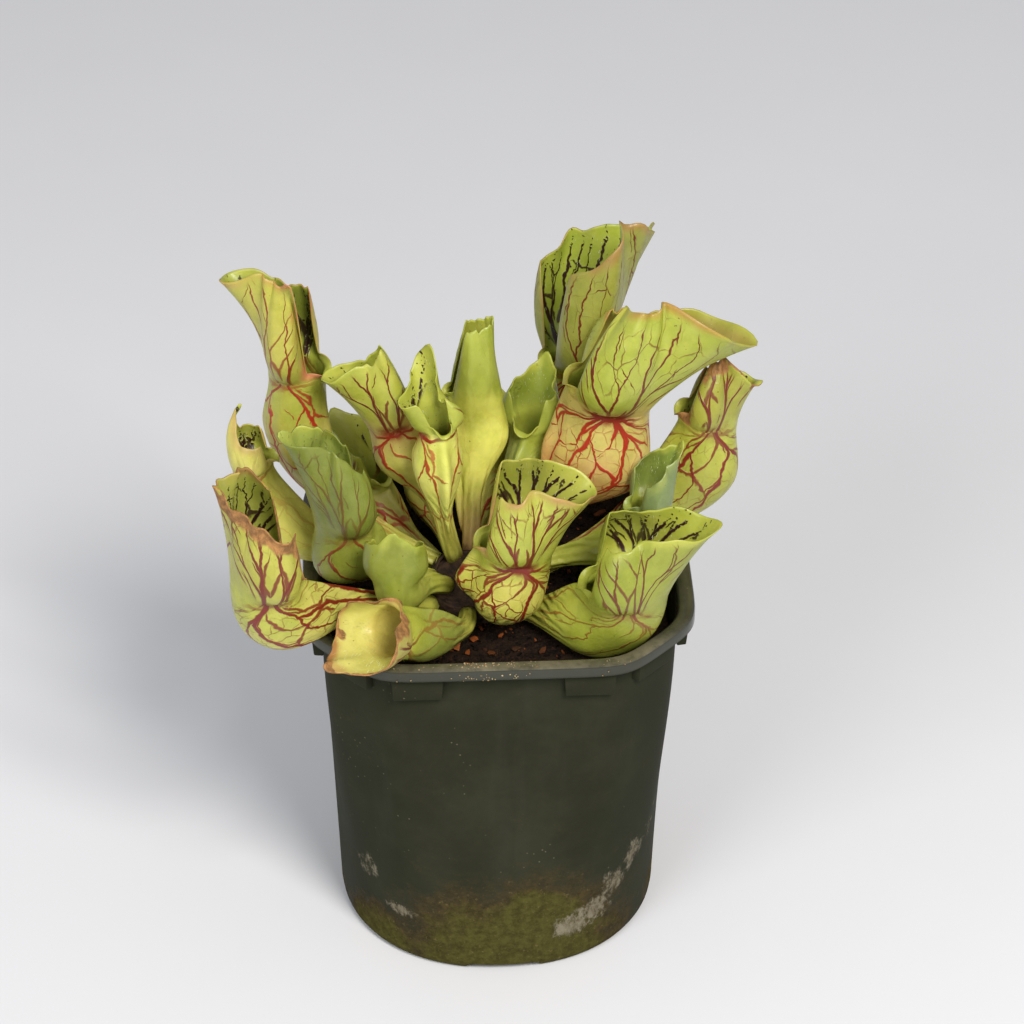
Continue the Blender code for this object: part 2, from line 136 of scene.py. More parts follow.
class Wires:
    """Adds nodes to one node tree. A value that is a socket is linked, and any other is set."""

    def __init__(self, tree):
        self.tree = tree

    def add(self, kind, values=None, out=0, **settings):
        node = self.tree.nodes.new("ShaderNode" + kind)
        for key, value in settings.items():
            setattr(node, key, value)
        self.fill(node, values or {})
        return node.outputs[out]

    def fill(self, node, values):
        for key, value in values.items():
            self.put(node.inputs[key], value)

    def put(self, socket, value):
        if isinstance(value, bpy.types.NodeSocket):
            self.tree.links.new(value, socket)
        elif isinstance(value, tuple) and len(value) == 3 and socket.type == "RGBA":
            socket.default_value = (*value, 1.0)
        else:
            socket.default_value = value

    def math(self, operation, a, b=0.0, clamp=False):
        return self.add("Math", {0: a, 1: b}, operation=operation, use_clamp=clamp)

    def plus(self, *values):
        return reduce(partial(self.math, "ADD"), values)

    def minus(self, a, b):
        return self.math("SUBTRACT", a, b)

    def times(self, *values):
        return reduce(partial(self.math, "MULTIPLY"), values)

    def most(self, *values):
        return reduce(partial(self.math, "MAXIMUM"), values)

    def vector(self, operation, a, b):
        return self.add("VectorMath", {0: a, 1: b}, operation=operation)

    def length(self, vector):
        return self.add("VectorMath", {0: vector}, out="Value", operation="LENGTH")

    def mix(self, share, a, b):
        return self.add("Mix", {MIX_SHARE: share, MIX_COLOURS[0]: a, MIX_COLOURS[1]: b},
                        out=MIX_COLOUR_OUT, data_type="RGBA")

    def blend(self, share, a, b):
        return self.add("Mix", {MIX_SHARE: share, MIX_FLOATS[0]: a, MIX_FLOATS[1]: b}, data_type="FLOAT")

    def step(self, value, low, high, start=0.0, end=1.0):
        """Eases from start to end as value goes from low to high."""
        return self.add("MapRange", {"Value": value, "From Min": low, "From Max": high, "To Min": start,
                                     "To Max": end}, interpolation_type="SMOOTHSTEP")

    def noise(self, place, scale, detail=3.0, roughness=0.5, out="Fac"):
        return self.add("TexNoise", {"Vector": place, "Scale": scale, "Detail": detail,
                                     "Roughness": roughness}, out=out)

    def spots(self, place, scale):
        """The distance to the nearest of many scattered points."""
        return self.add("TexVoronoi", {"Vector": place, "Scale": scale}, feature="F1")

    def shade(self, colour, value, saturation=1.0, hue=0.5):
        return self.add("HueSaturation", {"Hue": hue, "Saturation": saturation, "Value": value,
                                          "Color": colour})

    def attribute(self, name):
        return self.add("Attribute", attribute_name=name, out="Fac")

    def place(self):
        return self.add("TexCoord", out="Object")

    def stretch(self, vector, scale):
        return self.add("Mapping", {"Vector": vector, "Scale": scale})

    def part(self, vector, axis):
        return self.add("SeparateXYZ", {"Vector": vector}, out=axis)

    def bump(self, height, distance, strength):
        return self.add("Bump", {"Height": height, "Distance": distance, "Strength": strength})


def new_material(name):
    """A material with only its Principled shader and output, and its wires."""
    material = bpy.data.materials.new(name)
    material.use_nodes = True
    return material, Wires(material.node_tree), material.node_tree.nodes["Principled BSDF"]


def new_group(name, inputs, outputs):
    """A node group with named sockets: inputs is {name: (kind, default)}, outputs is {name: kind}."""
    group = bpy.data.node_groups.new(name, "ShaderNodeTree")
    for key, (kind, default) in inputs.items():
        socket = group.interface.new_socket(key, in_out="INPUT", socket_type="NodeSocket" + kind)
        socket.default_value = (*default, 1.0) if kind == "Color" else default
    for key, kind in outputs.items():
        group.interface.new_socket(key, in_out="OUTPUT", socket_type="NodeSocket" + kind)
    start = group.nodes.new("NodeGroupInput")
    end = group.nodes.new("NodeGroupOutput")
    return group, Wires(group), start.outputs, end.inputs


def place_group(wires, group, values):
    """Puts a group in a material or another group and gives back its outputs."""
    node = wires.tree.nodes.new("ShaderNodeGroup")
    node.node_tree = group
    wires.fill(node, values)
    return node.outputs


print("shader wiring ready")

# %% [markdown]
# The floor is a plain pale sheet. It is stage, not part of the plant.

# %% Floor
FLOOR_HALF = 6.0
FLOOR_DROP = 0.0002


def add_floor():
    bm = bmesh.new()
    bmesh.ops.create_grid(bm, x_segments=1, y_segments=1, size=FLOOR_HALF)
    bmesh.ops.translate(bm, vec=(0.0, 0.0, -FLOOR_DROP), verts=bm.verts)
    mesh = bpy.data.meshes.new("floor")
    bm.to_mesh(mesh)
    bm.free()
    floor = bpy.data.objects.new("floor", mesh)
    bpy.context.scene.collection.objects.link(floor)
    material, w, shader = new_material("pale_floor")
    mottle = w.noise(w.place(), 7.0, 4.0, 0.6)
    w.fill(shader, {"Base Color": w.mix(mottle, (0.75, 0.75, 0.77), (0.79, 0.79, 0.81)), "Roughness": 0.8})
    mesh.materials.append(material)
    return floor


print("floor", add_floor().name)

# %% [markdown]
# ## Pieces and their finish
#
# Every piece below ends the same way: its bmesh becomes a mesh, it gets its material, it rides on the one
# body, and it takes the place of its coarse solid if it has one.

# %% Finish a piece
SHARP_ANGLE = 40.0


def finish_piece(name, mesh, materials, replaced=None):
    """Makes the piece's object and tells the frame what it belongs to and which solid it stands for."""
    piece = bpy.data.objects.new(name, mesh)
    for material in materials:
        mesh.materials.append(material)
    bpy.context.scene.collection.objects.link(piece)
    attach(piece, "root")
    if replaced:
        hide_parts(replaced)
    return piece


def mesh_of(name, bm, angle=SHARP_ANGLE):
    """A smooth mesh that keeps its sharp edges: those that turn by more than the angle."""
    mesh = bpy.data.meshes.new(name)
    bm.to_mesh(mesh)
    bm.free()
    mesh.shade_smooth()
    mesh.set_sharp_from_angle(angle=math.radians(angle))
    return mesh


def pour(bm, batch):
    """Moves a small bmesh into a large one, in which operators would be slow."""
    part = bpy.data.meshes.new("batch")
    batch.to_mesh(part)
    batch.free()
    bm.from_mesh(part)
    bpy.data.meshes.remove(part)


def extrude(bm, edges):
    """Extrudes a ring of edges and gives back the new ring's edges and vertices."""
    made = bmesh.ops.extrude_edge_only(bm, edges=edges)["geom"]
    return ([g for g in made if isinstance(g, bmesh.types.BMEdge)],
            [g for g in made if isinstance(g, bmesh.types.BMVert)])


def smooth(t):
    """Eases from 0 to 1, level at both ends."""
    t = np.clip(t, 0.0, 1.0)
    return t * t * (3.0 - 2.0 * t)


def eased(keys, x):
    """Reads a curve that eases from one (place, value) key to the next. Works on whole arrays."""
    value = np.full_like(np.asarray(x, float), keys[-1][1])
    for (x0, y0), (x1, y1) in reversed(list(zip(keys, keys[1:]))):
        value = np.where(x <= x1, y0 + (y1 - y0) * smooth((x - x0) / (x1 - x0)), value)
    return value


print("halfway up an eased curve:", float(eased([(0, 0), (1, 2)], 0.5)))

# %% [markdown]
# ## The pot
#
# A square nursery pot is moulded from thin black plastic. Its rim is a square with cut corners, and lower
# down the wall grows rounder, until the base is nearly a circle. A box with bevelled corners couldn't turn
# into a circle, and a spun shape couldn't be square. So one ring of edges is extruded row by row, and each
# row is placed by a rule that gives the wall's distance from the middle in every direction. The stacking
# tabs are bevelled boxes that sit against the wall under the rim.

# %% Pot shape
POT_WIDTH = 130.0
POT_HEIGHT = 140.0
RIM_CORNER_CUT = 24.0
BODY_CORNER_CUT = 22.0
EDGE_SHARPNESS = 26.0  # how tightly the outline turns from a side into a cut corner
RIM_DROP = 4.5
RIM_SHELF = 5.0
BODY_TOP_HALF = 59.5
BASE_HALF = 55.0
BASE_ROUNDNESS = 2.2  # 2 would be a circle
SQUARING = 1.15  # how soon, going up, the round base has turned into the square
WALL = 1.6
FLOOR_THICKNESS = 4.5
SLOT_HALF = 12.0
SLOT_HEIGHT = 2.6
SLOT_EASE = 3.0
POT_SEGMENTS = 288


def cut_square_radius(angle, half, cut):
    """From the middle to a square with cut corners, in one direction."""
    c, s = abs(math.cos(angle)), abs(math.sin(angle))
    sides = (c / half, s / half, (c + s) / (2 * half - cut))
    return sum(side**EDGE_SHARPNESS for side in sides) ** (-1.0 / EDGE_SHARPNESS)


def soft_square_radius(angle, half, roundness):
    c, s = abs(math.cos(angle)), abs(math.sin(angle))
    return half / (c**roundness + s**roundness) ** (1.0 / roundness)


def body_radius(angle, z, inset=0.0):
    t = min(max(z / (POT_HEIGHT - RIM_DROP), 0.0), 1.0)
    half = BASE_HALF + (BODY_TOP_HALF - BASE_HALF) * t
    foot = soft_square_radius(angle, half, BASE_ROUNDNESS)
    top = cut_square_radius(angle, half, BODY_CORNER_CUT)
    return foot + (top - foot) * float(smooth(SQUARING * t)) - inset


def rim_radius(angle, inset=0.0):
    return cut_square_radius(angle, POT_WIDTH / 2 - inset, RIM_CORNER_CUT - inset * 0.6)


def foot_lift(x, y):
    """The drainage slot under the middle of each side lifts the wall's lower edge there."""
    across = min(abs(x), abs(y))
    return SLOT_HEIGHT * float(1.0 - smooth((across - SLOT_HALF + SLOT_EASE / 2) / SLOT_EASE))


def pot_rows():
    """The wall's section from the underside's middle round to the inside, as (kind, inset, height)."""
    rows = [("body", 16.0, 1.2), ("body", 7.0, 1.2), ("body", 6.0, 0.0), ("body", 2.6, 0.0),
            ("body", 1.0, 0.8), ("body", 0.2, 2.2), ("body", 0.0, 4.0)]
    rows += [("body", 0.0, z) for z in range(8, 132, 6)]
    rows += [("body", 0.0, POT_HEIGHT - RIM_DROP - 0.6), ("body", -0.5, POT_HEIGHT - RIM_DROP)]
    rows += [("rim", 0.5, POT_HEIGHT - RIM_DROP), ("rim", 0.0, POT_HEIGHT - RIM_DROP + 0.5),
             ("rim", 0.0, POT_HEIGHT - 1.1), ("rim", 0.25, POT_HEIGHT - 0.35), ("rim", 0.9, POT_HEIGHT),
             ("rim", RIM_SHELF - 0.4, POT_HEIGHT - 0.3), ("rim", RIM_SHELF + 0.4, POT_HEIGHT - 0.8),
             ("rim", RIM_SHELF + 0.9, POT_HEIGHT - 1.8)]
    rows += [("body", WALL, z) for z in (130, 120, 110, 90, 60, 30, 8)]
    rows += [("body", WALL + 2.0, FLOOR_THICKNESS), ("body", 16.0, FLOOR_THICKNESS)]
    return rows


def build_pot():
    bm = bmesh.new()
    bmesh.ops.create_circle(bm, cap_ends=False, radius=1.0, segments=POT_SEGMENTS)

    def place(verts, row):
        kind, inset, z = row
        for vert in verts:
            angle = math.atan2(vert.co.y, vert.co.x)
            radius = body_radius(angle, z, inset) if kind == "body" else rim_radius(angle, inset)
            x, y = radius * math.cos(angle), radius * math.sin(angle)
            lift = foot_lift(x, y) if z < 4.0 and inset < 6.5 else 0.0
            vert.co = (x * MM, y * MM, max(z, lift) * MM)

    rows = pot_rows()
    first = edges = list(bm.edges)
    place(list(bm.verts), rows[0])
    for row in rows[1:]:
        edges, verts = extrude(bm, edges)
        place(verts, row)
    bmesh.ops.contextual_create(bm, geom=first)
    bmesh.ops.contextual_create(bm, geom=edges)
    bmesh.ops.recalc_face_normals(bm, faces=bm.faces)
    return bm


print("rim from corner to corner:", round(2 * rim_radius(math.pi / 4), 1), "mm")

# %% Stacking tabs
TAB_HEIGHT = 8.5
TAB_DEPTH = 3.0
TAB_ROOT = 0.9  # how deep a tab reaches into the wall
TAB_LENGTH = 17.0
CORNER_TAB_LENGTH = 16.0
TAB_DROP = 1.2  # from the rim's underside to a tab's top
TAB_TAPER = 0.94
TAB_UNDERCUT = 0.7
TAB_BEVEL = 0.45


def add_tab(bm, length):
    made = bmesh.ops.create_cube(bm, size=1.0)["verts"]
    bmesh.ops.scale(bm, vec=(length, TAB_DEPTH + TAB_ROOT, TAB_HEIGHT), verts=made)
    for vert in made:
        if vert.co.z < 0 and vert.co.y < 0:
            vert.co.x *= TAB_TAPER
            vert.co.y += TAB_UNDERCUT
    edges = list({e for v in made for e in v.link_edges})
    bmesh.ops.bevel(bm, geom=edges, offset=TAB_BEVEL, offset_type="OFFSET", affect="EDGES", segments=2,
                    profile=0.5, material=-1)


def build_tabs(bm):
    """Adds the tabs to the pot's bmesh: two on every side and one across each cut corner."""
    out = (TAB_DEPTH - TAB_ROOT) / 2
    z = POT_HEIGHT - RIM_DROP - TAB_HEIGHT / 2 - TAB_DROP
    reach = BODY_TOP_HALF - RIM_CORNER_CUT * 0.95 - TAB_LENGTH / 2
    corner = BODY_TOP_HALF - BODY_CORNER_CUT / 2 + out * math.sqrt(0.5)
    places = [(TAB_LENGTH, Vector((end * reach, -BODY_TOP_HALF - out, z)), 0.0) for end in (-1, 1)]
    places.append((CORNER_TAB_LENGTH, Vector((corner, -corner, z)), math.pi / 4))
    for side in range(4):
        quarter = side * math.pi / 2
        for length, middle, turn in places:
            box = bmesh.new()
            add_tab(box, length)
            bmesh.ops.transform(box, matrix=Matrix.Rotation(turn, 4, "Z"), verts=box.verts)
            bmesh.ops.translate(box, vec=middle, verts=box.verts)
            bmesh.ops.transform(box, matrix=Matrix.Rotation(quarter, 4, "Z"), verts=box.verts)
            bmesh.ops.scale(box, vec=(MM, MM, MM), verts=box.verts)
            pour(bm, box)


pot_bm = build_pot()
build_tabs(pot_bm)
pot_mesh = mesh_of("nursery_pot", pot_bm, 35.0)
print("pot faces:", len(pot_mesh.polygons))

# %% [markdown]
# ## Black plastic that has stood on a wet bench
#
# New plastic would be an even dark grey. This pot has a dull film of dust, faint runs where water has
# dried, a green-brown growth of algae low on the wall where it stays wet, and a pale streak of lime
# beside it that climbs the front right corner. The stains are noise cut off by soft spots, each listed
# with its place on the wall.
# The film of dust is partly a painted sheen: it is kept mostly to the front of the rim, where light falls
# on the rim's top.

# %% Pot material
STAINS = {  # each spot's middle, its width and its height, in millimetres
    "algae": [((4, -56, 0), 64, 58), ((12, -54, 24), 30, 22), ((18, 54, 0), 60, 44),
              ((-54, 18, 0), 46, 36), ((54, 2, 0), 40, 32), ((-40, 40, 0), 36, 24), ((40, 40, 0), 36, 24),
              ((-42, -38, 0), 30, 26)],
    "lime": [((24, -51, 17), 13, 9), ((31, -47, 22), 12, 10), ((37, -43, 30), 11, 12),
             ((43, -37, 38), 9, 13), ((48, -30, 47), 8, 14), ((52, -21, 56), 6, 12),
             ((-44, -36, 36), 8, 9), ((-35, -46, 22), 9, 5), ((52, 14, 26), 15, 20),
             ((-40, 40, 24), 15, 16), ((20, 54, 30), 14, 13)],
}
PLASTIC = ((0.0245, 0.026, 0.0148), (0.035, 0.0365, 0.022))
DRIED_RUNS = (0.05, 0.05, 0.034)
# The pale film is partly dust and partly a painted sheen on the front of the rim.
DUST_AND_SHEEN = (0.23, 0.2, 0.13)
DUST_SPECKS = (0.2, 0.17, 0.11)
BROWN_ALGAE = ((0.035, 0.026, 0.012), (0.08, 0.055, 0.024))
GREEN_ALGAE = ((0.045, 0.038, 0.01), (0.1, 0.092, 0.022))
ALGAE_GRAINS = (0.22, 0.17, 0.07)
LIME_CRUST = ((0.14, 0.11, 0.07), (0.28, 0.25, 0.18))


def stain_mask(w, place, spots):
    """Highest of several soft spots: 1 in a spot's middle and 0 outside it."""

    def spot(middle, wide, tall):
        shifted = w.vector("ADD", place, tuple(-x * MM for x in middle))
        scaled = w.vector("MULTIPLY", shifted, (1 / (wide * MM), 1 / (wide * MM), 1 / (tall * MM)))
        return w.step(w.length(scaled), 1.0, 0.15)

    return w.most(*(spot(*values) for values in spots))


def pot_material():
    material, w, shader = new_material("pot_plastic")
    place = w.place()
    film = w.noise(place, 26.0, 5.0, 0.65)
    runs = w.noise(w.stretch(place, (60.0, 60.0, 7.0)), 1.0, 4.0, 0.6)
    grain = w.noise(place, 1400.0, 2.0, 0.6)
    colour = w.mix(w.step(film, 0.35, 0.7), *PLASTIC)
    colour = w.mix(w.step(runs, 0.55, 0.75, 0.0, 0.22), colour, DRIED_RUNS)
    # Dust on what faces up, and a painted sheen: the pale film is kept mostly to the front of the rim,
    # where it stands for the light on the rim's top
    upward = w.step(w.part(w.add("NewGeometry", out="Normal"), Z), 0.5, 1.0)
    dust_and_sheen = w.times(upward, w.step(w.noise(place, 160.0, 4.0, 0.7), 0.3, 0.6, 0.35, 1.0))
    front = w.step(w.part(place, Y), -0.045, -0.058, 0.22, 1.0)
    dust_and_sheen = w.times(dust_and_sheen, w.times(front, w.step(film, 0.3, 0.6, 0.4, 1.0)))
    colour = w.mix(w.times(dust_and_sheen, 0.8), colour, DUST_AND_SHEEN)
    specks = w.step(w.spots(place, 420.0), 0.16, 0.08)
    speck_where = w.step(w.noise(place, 60.0, 2.0), 0.58, 0.66)
    colour = w.mix(w.times(specks, speck_where, 0.5), colour, DUST_SPECKS)
    # Algae, green where they are thickest
    algae_noise = w.plus(w.noise(place, 85.0, 6.0, 0.72), w.times(film, 0.35))
    growth = w.plus(algae_noise, w.times(stain_mask(w, place, STAINS["algae"]), 0.85))
    algae = w.step(growth, 0.74, 1.15)
    patchy = w.step(w.noise(place, 320.0, 6.0, 0.8), 0.3, 0.7)
    slime = w.mix(w.step(growth, 1.0, 1.35), w.mix(patchy, *BROWN_ALGAE), w.mix(patchy, *GREEN_ALGAE))
    grains = w.step(w.noise(place, 700.0, 3.0, 0.6), 0.6, 0.72)
    slime = w.mix(w.times(grains, 0.4), slime, ALGAE_GRAINS)
    colour = w.mix(w.times(algae, 0.85), colour, slime)
    # Lime
    crust = w.step(w.noise(w.stretch(place, (140.0, 140.0, 90.0)), 1.0, 6.0, 0.8), 0.36, 0.66)
    lime_spot = stain_mask(w, place, STAINS["lime"])
    lime = w.step(w.plus(w.times(crust, 0.6), w.times(lime_spot, 0.75)), 0.6, 1.05)
    colour = w.mix(w.times(lime, 0.8), colour, w.mix(crust, *LIME_CRUST))
    rough = w.math("ADD", w.step(film, 0.3, 0.7, 0.48, 0.62), w.times(dust_and_sheen, 0.3), clamp=True)
    rough = w.most(rough, w.times(w.most(algae, lime), 0.85))
    height = w.plus(w.times(grain, 0.25), w.times(film, 0.5))
    height = w.plus(height, w.times(algae, algae_noise, 1.6), w.times(lime, 0.7))
    # Hands and rain have polished the rim
    polished = w.times(w.step(w.part(place, Z), 0.1352, 0.137), w.step(dust_and_sheen, 0.2, 0.9, 1.0, 0.4))
    w.fill(shader, {"Base Color": colour, "Roughness": rough, "Normal": w.bump(height, 0.0004, 0.6),
                    "Specular IOR Level": 0.02, "Coat Weight": polished, "Coat Roughness": 0.16})
    return material


finish_piece("nursery_pot", pot_mesh, [pot_material()], "pot")
print("stains:", {name: len(spots) for name, spots in STAINS.items()})

# %% [markdown]
# ## The peat
#
# Moist peat is nearly black, crumbly, and full of fibres, bits of bark and pale grit. A displacement
# texture would do for a view from above, but the peat also has to end at the pot's wall. So its surface is
# a grid bent to the pot's outline and raised by layered noise, and its edge is extruded down and closed.

# %% Peat surface
SOIL_LEVEL = 126.0
CROWN = Vector((-9.0, -9.0, 131.0))
PEAT_GAP = 0.8
PEAT_DIVISIONS = 150
PEAT_SOLID_DEPTH = 40.0
PEAT_TAPER = 0.985


def soil_height(x, y):
    """The coarse solid's surface, which sinks a little away from the crown."""
    lumps = 0.8 * noise.noise(Vector((x, y, 0.0)) / 11.0) + 0.4 * noise.noise(Vector((x, y, 9.0)) / 4.5)
    away = math.hypot(x - CROWN.x, y - CROWN.y)
    return SOIL_LEVEL + lumps - 1.6 * float(smooth((away - 40) / 25))


def crumbly_height(x, y):
    """The same surface with crumbs of two or three millimetres."""
    fine = 0.55 * noise.fractal(Vector((x, y, 3.0)) / 2.6, 1.0, 2.0, 4)
    return soil_height(x, y) + fine - 0.2


def build_peat():
    bm = bmesh.new()
    bmesh.ops.create_grid(bm, x_segments=PEAT_DIVISIONS, y_segments=PEAT_DIVISIONS, size=1.0)
    for vert in bm.verts:
        u, v = vert.co.x, vert.co.y
        share = max(abs(u), abs(v))
        angle = math.atan2(v, u)
        radius = share * body_radius(angle, SOIL_LEVEL, WALL + PEAT_GAP)
        x, y = radius * math.cos(angle), radius * math.sin(angle)
        vert.co = (x * MM, y * MM, crumbly_height(x, y) * MM)
    rim = [e for e in bm.edges if e.is_boundary]
    edges, verts = extrude(bm, rim)
    for vert in verts:
        vert.co.x *= PEAT_TAPER
        vert.co.y *= PEAT_TAPER
        vert.co.z = (SOIL_LEVEL - PEAT_SOLID_DEPTH) * MM
    bmesh.ops.contextual_create(bm, geom=edges)
    bmesh.ops.recalc_face_normals(bm, faces=bm.faces)
    return bm


def peat_material():
    material, w, shader = new_material("moist_peat")
    place = w.place()
    coarse = w.noise(place, 150.0, 6.0, 0.75)
    fine = w.noise(place, 900.0, 4.0, 0.7)
    colour = w.mix(w.step(coarse, 0.35, 0.65), (0.003, 0.0017, 0.001), (0.018, 0.009, 0.005))
    colour = w.mix(w.step(fine, 0.42, 0.66, 0.0, 0.7), colour, (0.035, 0.017, 0.009))
    fibres = w.step(w.noise(w.stretch(place, (1500.0, 260.0, 700.0)), 1.0, 3.0, 0.6), 0.62, 0.72)
    colour = w.mix(w.times(fibres, 0.4), colour, (0.07, 0.035, 0.018))
    relief = w.bump(w.plus(coarse, w.times(fine, 0.7)), 0.0012, 1.0)
    w.fill(shader, {"Base Color": colour, "Roughness": 0.85, "Specular IOR Level": 0.15, "Normal": relief})
    return material


peat_mesh = mesh_of("peat_surface", build_peat(), 60.0)
finish_piece("peat_surface", peat_mesh, [peat_material()], "peat")
print("peat faces:", len(peat_mesh.polygons))

# %% [markdown]
# ## Crumbs, bark chips and grit
#
# The loose bits on the peat could be drawn in its material, but seen from low down they stand up and cast
# shadows. Each is a small icosphere, squashed and turned at random, and all are joined in one piece. The
# bark chips that the eye picks out are listed one by one, and a little pale grit lies along the front
# of the pot's rim. A face attribute called tint picks each crumb's colour from a ramp.

# %% Crumbs, bark chips and grit
CRUMB_COUNT = 2600
CRUMB_TINTS = 0.74
BATCH = 50
GRIT_SPOTS = [(-9.0, 60, 9.0), (6.0, 24, 6.0), (-30.0, 12, 10.0), (36.0, 8, 8.0)]  # x, count, spread
GRIT_TINTS = (0.84, 1.0)
FALLEN_GRIT = 0.25  # the share that has fallen onto the rim's face
CHIP_THICKNESS = 1.3
CHIPS = [  # x, y, length, width, turn and lean in degrees, tint
    (-14.6, -34.0, 8.5, 4.2, 80, 58, 0.8), (-16.6, -28.0, 4.2, 2.0, 75, 20, 0.76),
    (-8.6, -31.5, 3.4, 2.6, 10, 15, 0.72), (-3.0, -38.0, 3.6, 2.4, -30, 10, 0.64),
    (5.0, -36.5, 4.2, 2.4, 20, -12, 0.6), (-11.0, -37.5, 3.0, 1.8, 60, 8, 0.7),
    (14.0, -38.0, 3.4, 2.0, 50, 12, 0.62), (-6.0, -26.0, 3.0, 1.6, -70, -15, 0.66),
    (0.5, -30.0, 2.6, 1.5, 35, 20, 0.7), (50.0, 10.0, 6.0, 3.2, 40, 10, 0.62),
    (44.0, -12.0, 5.0, 3.0, -60, -14, 0.7), (-45.0, 30.0, 5.5, 3.0, 15, 12, 0.62),
    (10.0, 50.0, 6.0, 3.0, -20, 16, 0.78), (-20.0, 50.0, 5.0, 3.4, 80, -10, 0.64),
    (38.0, 40.0, 5.5, 2.8, 30, 14, 0.65),
]


def join_crumbs(crumbs):
    """One bmesh of all crumbs, made batch by batch."""
    bm = bmesh.new()
    bm.faces.layers.float.new("tint")
    for first in range(0, len(crumbs), BATCH):
        batch = bmesh.new()
        tint_layer = batch.faces.layers.float.new("tint")
        for place, size, turn, tint in crumbs[first:first + BATCH]:
            made = bmesh.ops.create_icosphere(batch, subdivisions=1, radius=0.5)["verts"]
            for vert in made:
                vert.co *= 1.0 + 0.35 * noise.noise(vert.co * 3.1 + Vector(place))
            shape = Matrix.LocRotScale(Vector(place) * MM, turn.to_quaternion(), Vector(size) * MM)
            bmesh.ops.transform(batch, matrix=shape, verts=made)
            for face in {f for v in made for f in v.link_faces}:
                face[tint_layer] = tint
        pour(bm, batch)
    return bm


def scatter_crumbs(rng):
    """Place, size, turn and tint of every crumb, chip and grain of grit."""
    crumbs = []

    def tumble():
        return Matrix.Rotation(rng.uniform(0, 6.28), 3, Vector(rng.normal(size=3)).normalized())

    for _ in range(CRUMB_COUNT):
        angle = rng.uniform(0, 2 * math.pi)
        radius = math.sqrt(rng.uniform(0.02, 1)) * (body_radius(angle, SOIL_LEVEL, WALL) - 3.0)
        x, y = radius * math.cos(angle), radius * math.sin(angle)
        long = 0.7 + 1.9 * rng.random() ** 3
        size = (long, long * rng.uniform(0.5, 0.9), long * rng.uniform(0.35, 0.7))
        place = (x, y, crumbly_height(x, y) + 0.1 * long)
        crumbs.append((place, size, tumble(), CRUMB_TINTS * rng.random() ** 2))
    for x, y, long, wide, degrees, lean, tint in CHIPS:
        lean = math.radians(lean)
        turn = Matrix.Rotation(math.radians(degrees), 3, "Z") @ Matrix.Rotation(-lean, 3, "Y")
        lift = 0.7 + 0.4 * long * abs(math.sin(lean))
        place = (x, y, crumbly_height(x, y) + lift)
        crumbs.append((place, (long, wide, CHIP_THICKNESS), turn, tint))
    for x, count, spread in GRIT_SPOTS:
        for _ in range(count):
            size = rng.uniform(0.3, 0.8)
            place = (x + rng.normal() * spread * 0.5, rng.uniform(-63.8, -60.6), POT_HEIGHT - 0.1)
            if rng.random() < FALLEN_GRIT:
                place = (place[0], -POT_WIDTH / 2 - 0.05, POT_HEIGHT - rng.uniform(1.5, 4.0))
            crumbs.append((place, (size, size, size * 0.7), tumble(), rng.uniform(*GRIT_TINTS)))
    return crumbs


def crumb_material():
    material, w, shader = new_material("crumbs_and_bark")
    ramp = w.add("ValToRGB", {"Fac": w.attribute("tint")})
    stops = ramp.node.color_ramp.elements
    stops[0].color = (0.003, 0.0018, 0.0012, 1)
    stops[1].color = (0.5, 0.42, 0.24, 1)
    for position, colour in ((0.42, (0.012, 0.006, 0.0035)), (0.6, (0.05, 0.022, 0.01)),
                             (0.78, (0.42, 0.1, 0.018)), (0.86, (0.34, 0.2, 0.09))):
        stops.new(position).color = (*colour, 1)
    mottle = w.noise(w.place(), 900.0, 3.0, 0.6)
    colour = w.mix(w.step(mottle, 0.3, 0.7, 0.0, 0.45), ramp, (0.012, 0.007, 0.004))
    w.fill(shader, {"Base Color": colour, "Roughness": 0.8, "Specular IOR Level": 0.1,
                    "Normal": w.bump(mottle, 0.0003, 0.8)})
    return material


crumb_mesh = mesh_of("crumbs", join_crumbs(scatter_crumbs(np.random.default_rng(4))), 30.0)
finish_piece("crumbs", crumb_mesh, [crumb_material()])
print("crumb faces:", len(crumb_mesh.polygons))

# %% [markdown]
# ## The crown
#
# The rhizome is a short knobbly stem, brown and wrapped in the papery bases of old leaves. Little of it
# shows between the stalks. It is an icosphere pushed out by noise, with a ring of small pointed scales.

# %% Crown
CROWN_RADIUS = 15.0
SCALE_COUNT = 22
SCALE_STEP = 2.4  # radians from one scale to the next, close to the golden angle
SCALE_FOOT = 2.4
SCALE_POINT = 0.2
SCALE_LENGTH = 7.0
SCALE_LEAN = -20.0
SCALE_FLATNESS = 0.28


def crown_radius(direction):
    """The coarse solid's surface, where the stalks are seated."""
    return CROWN_RADIUS * (1.0 + 0.05 * noise.noise(direction * 1.7))


def build_crown(rng):
    bm = bmesh.new()
    bmesh.ops.create_icosphere(bm, subdivisions=5, radius=1.0)
    for vert in bm.verts:
        direction = vert.co.normalized()
        rough = 0.5 * noise.fractal(direction * 4.0, 1.0, 2.0, 4)
        vert.co = (CROWN + direction * (crown_radius(direction) - 0.4 + rough)) * MM
    for k in range(SCALE_COUNT):
        heading = k * SCALE_STEP + rng.uniform(-0.2, 0.2)
        rise = math.radians(rng.uniform(15, 75))
        direction = Vector((math.cos(heading) * math.cos(rise), math.sin(heading) * math.cos(rise),
                            math.sin(rise)))
        made = bmesh.ops.create_cone(bm, cap_ends=True, segments=8, radius1=SCALE_FOOT,
                                     radius2=SCALE_POINT, depth=SCALE_LENGTH)["verts"]
        turn = direction.to_track_quat("Y", "Z").to_matrix().to_4x4()
        lay = Matrix.Rotation(math.radians(SCALE_LEAN), 4, "X")
        place = Matrix.Translation((CROWN + direction * (CROWN_RADIUS + 0.2)) * MM)
        flat = Matrix.Diagonal((MM, MM * SCALE_FLATNESS, MM, 1.0))
        bmesh.ops.transform(bm, matrix=place @ turn @ lay @ flat, verts=made)
    return bm


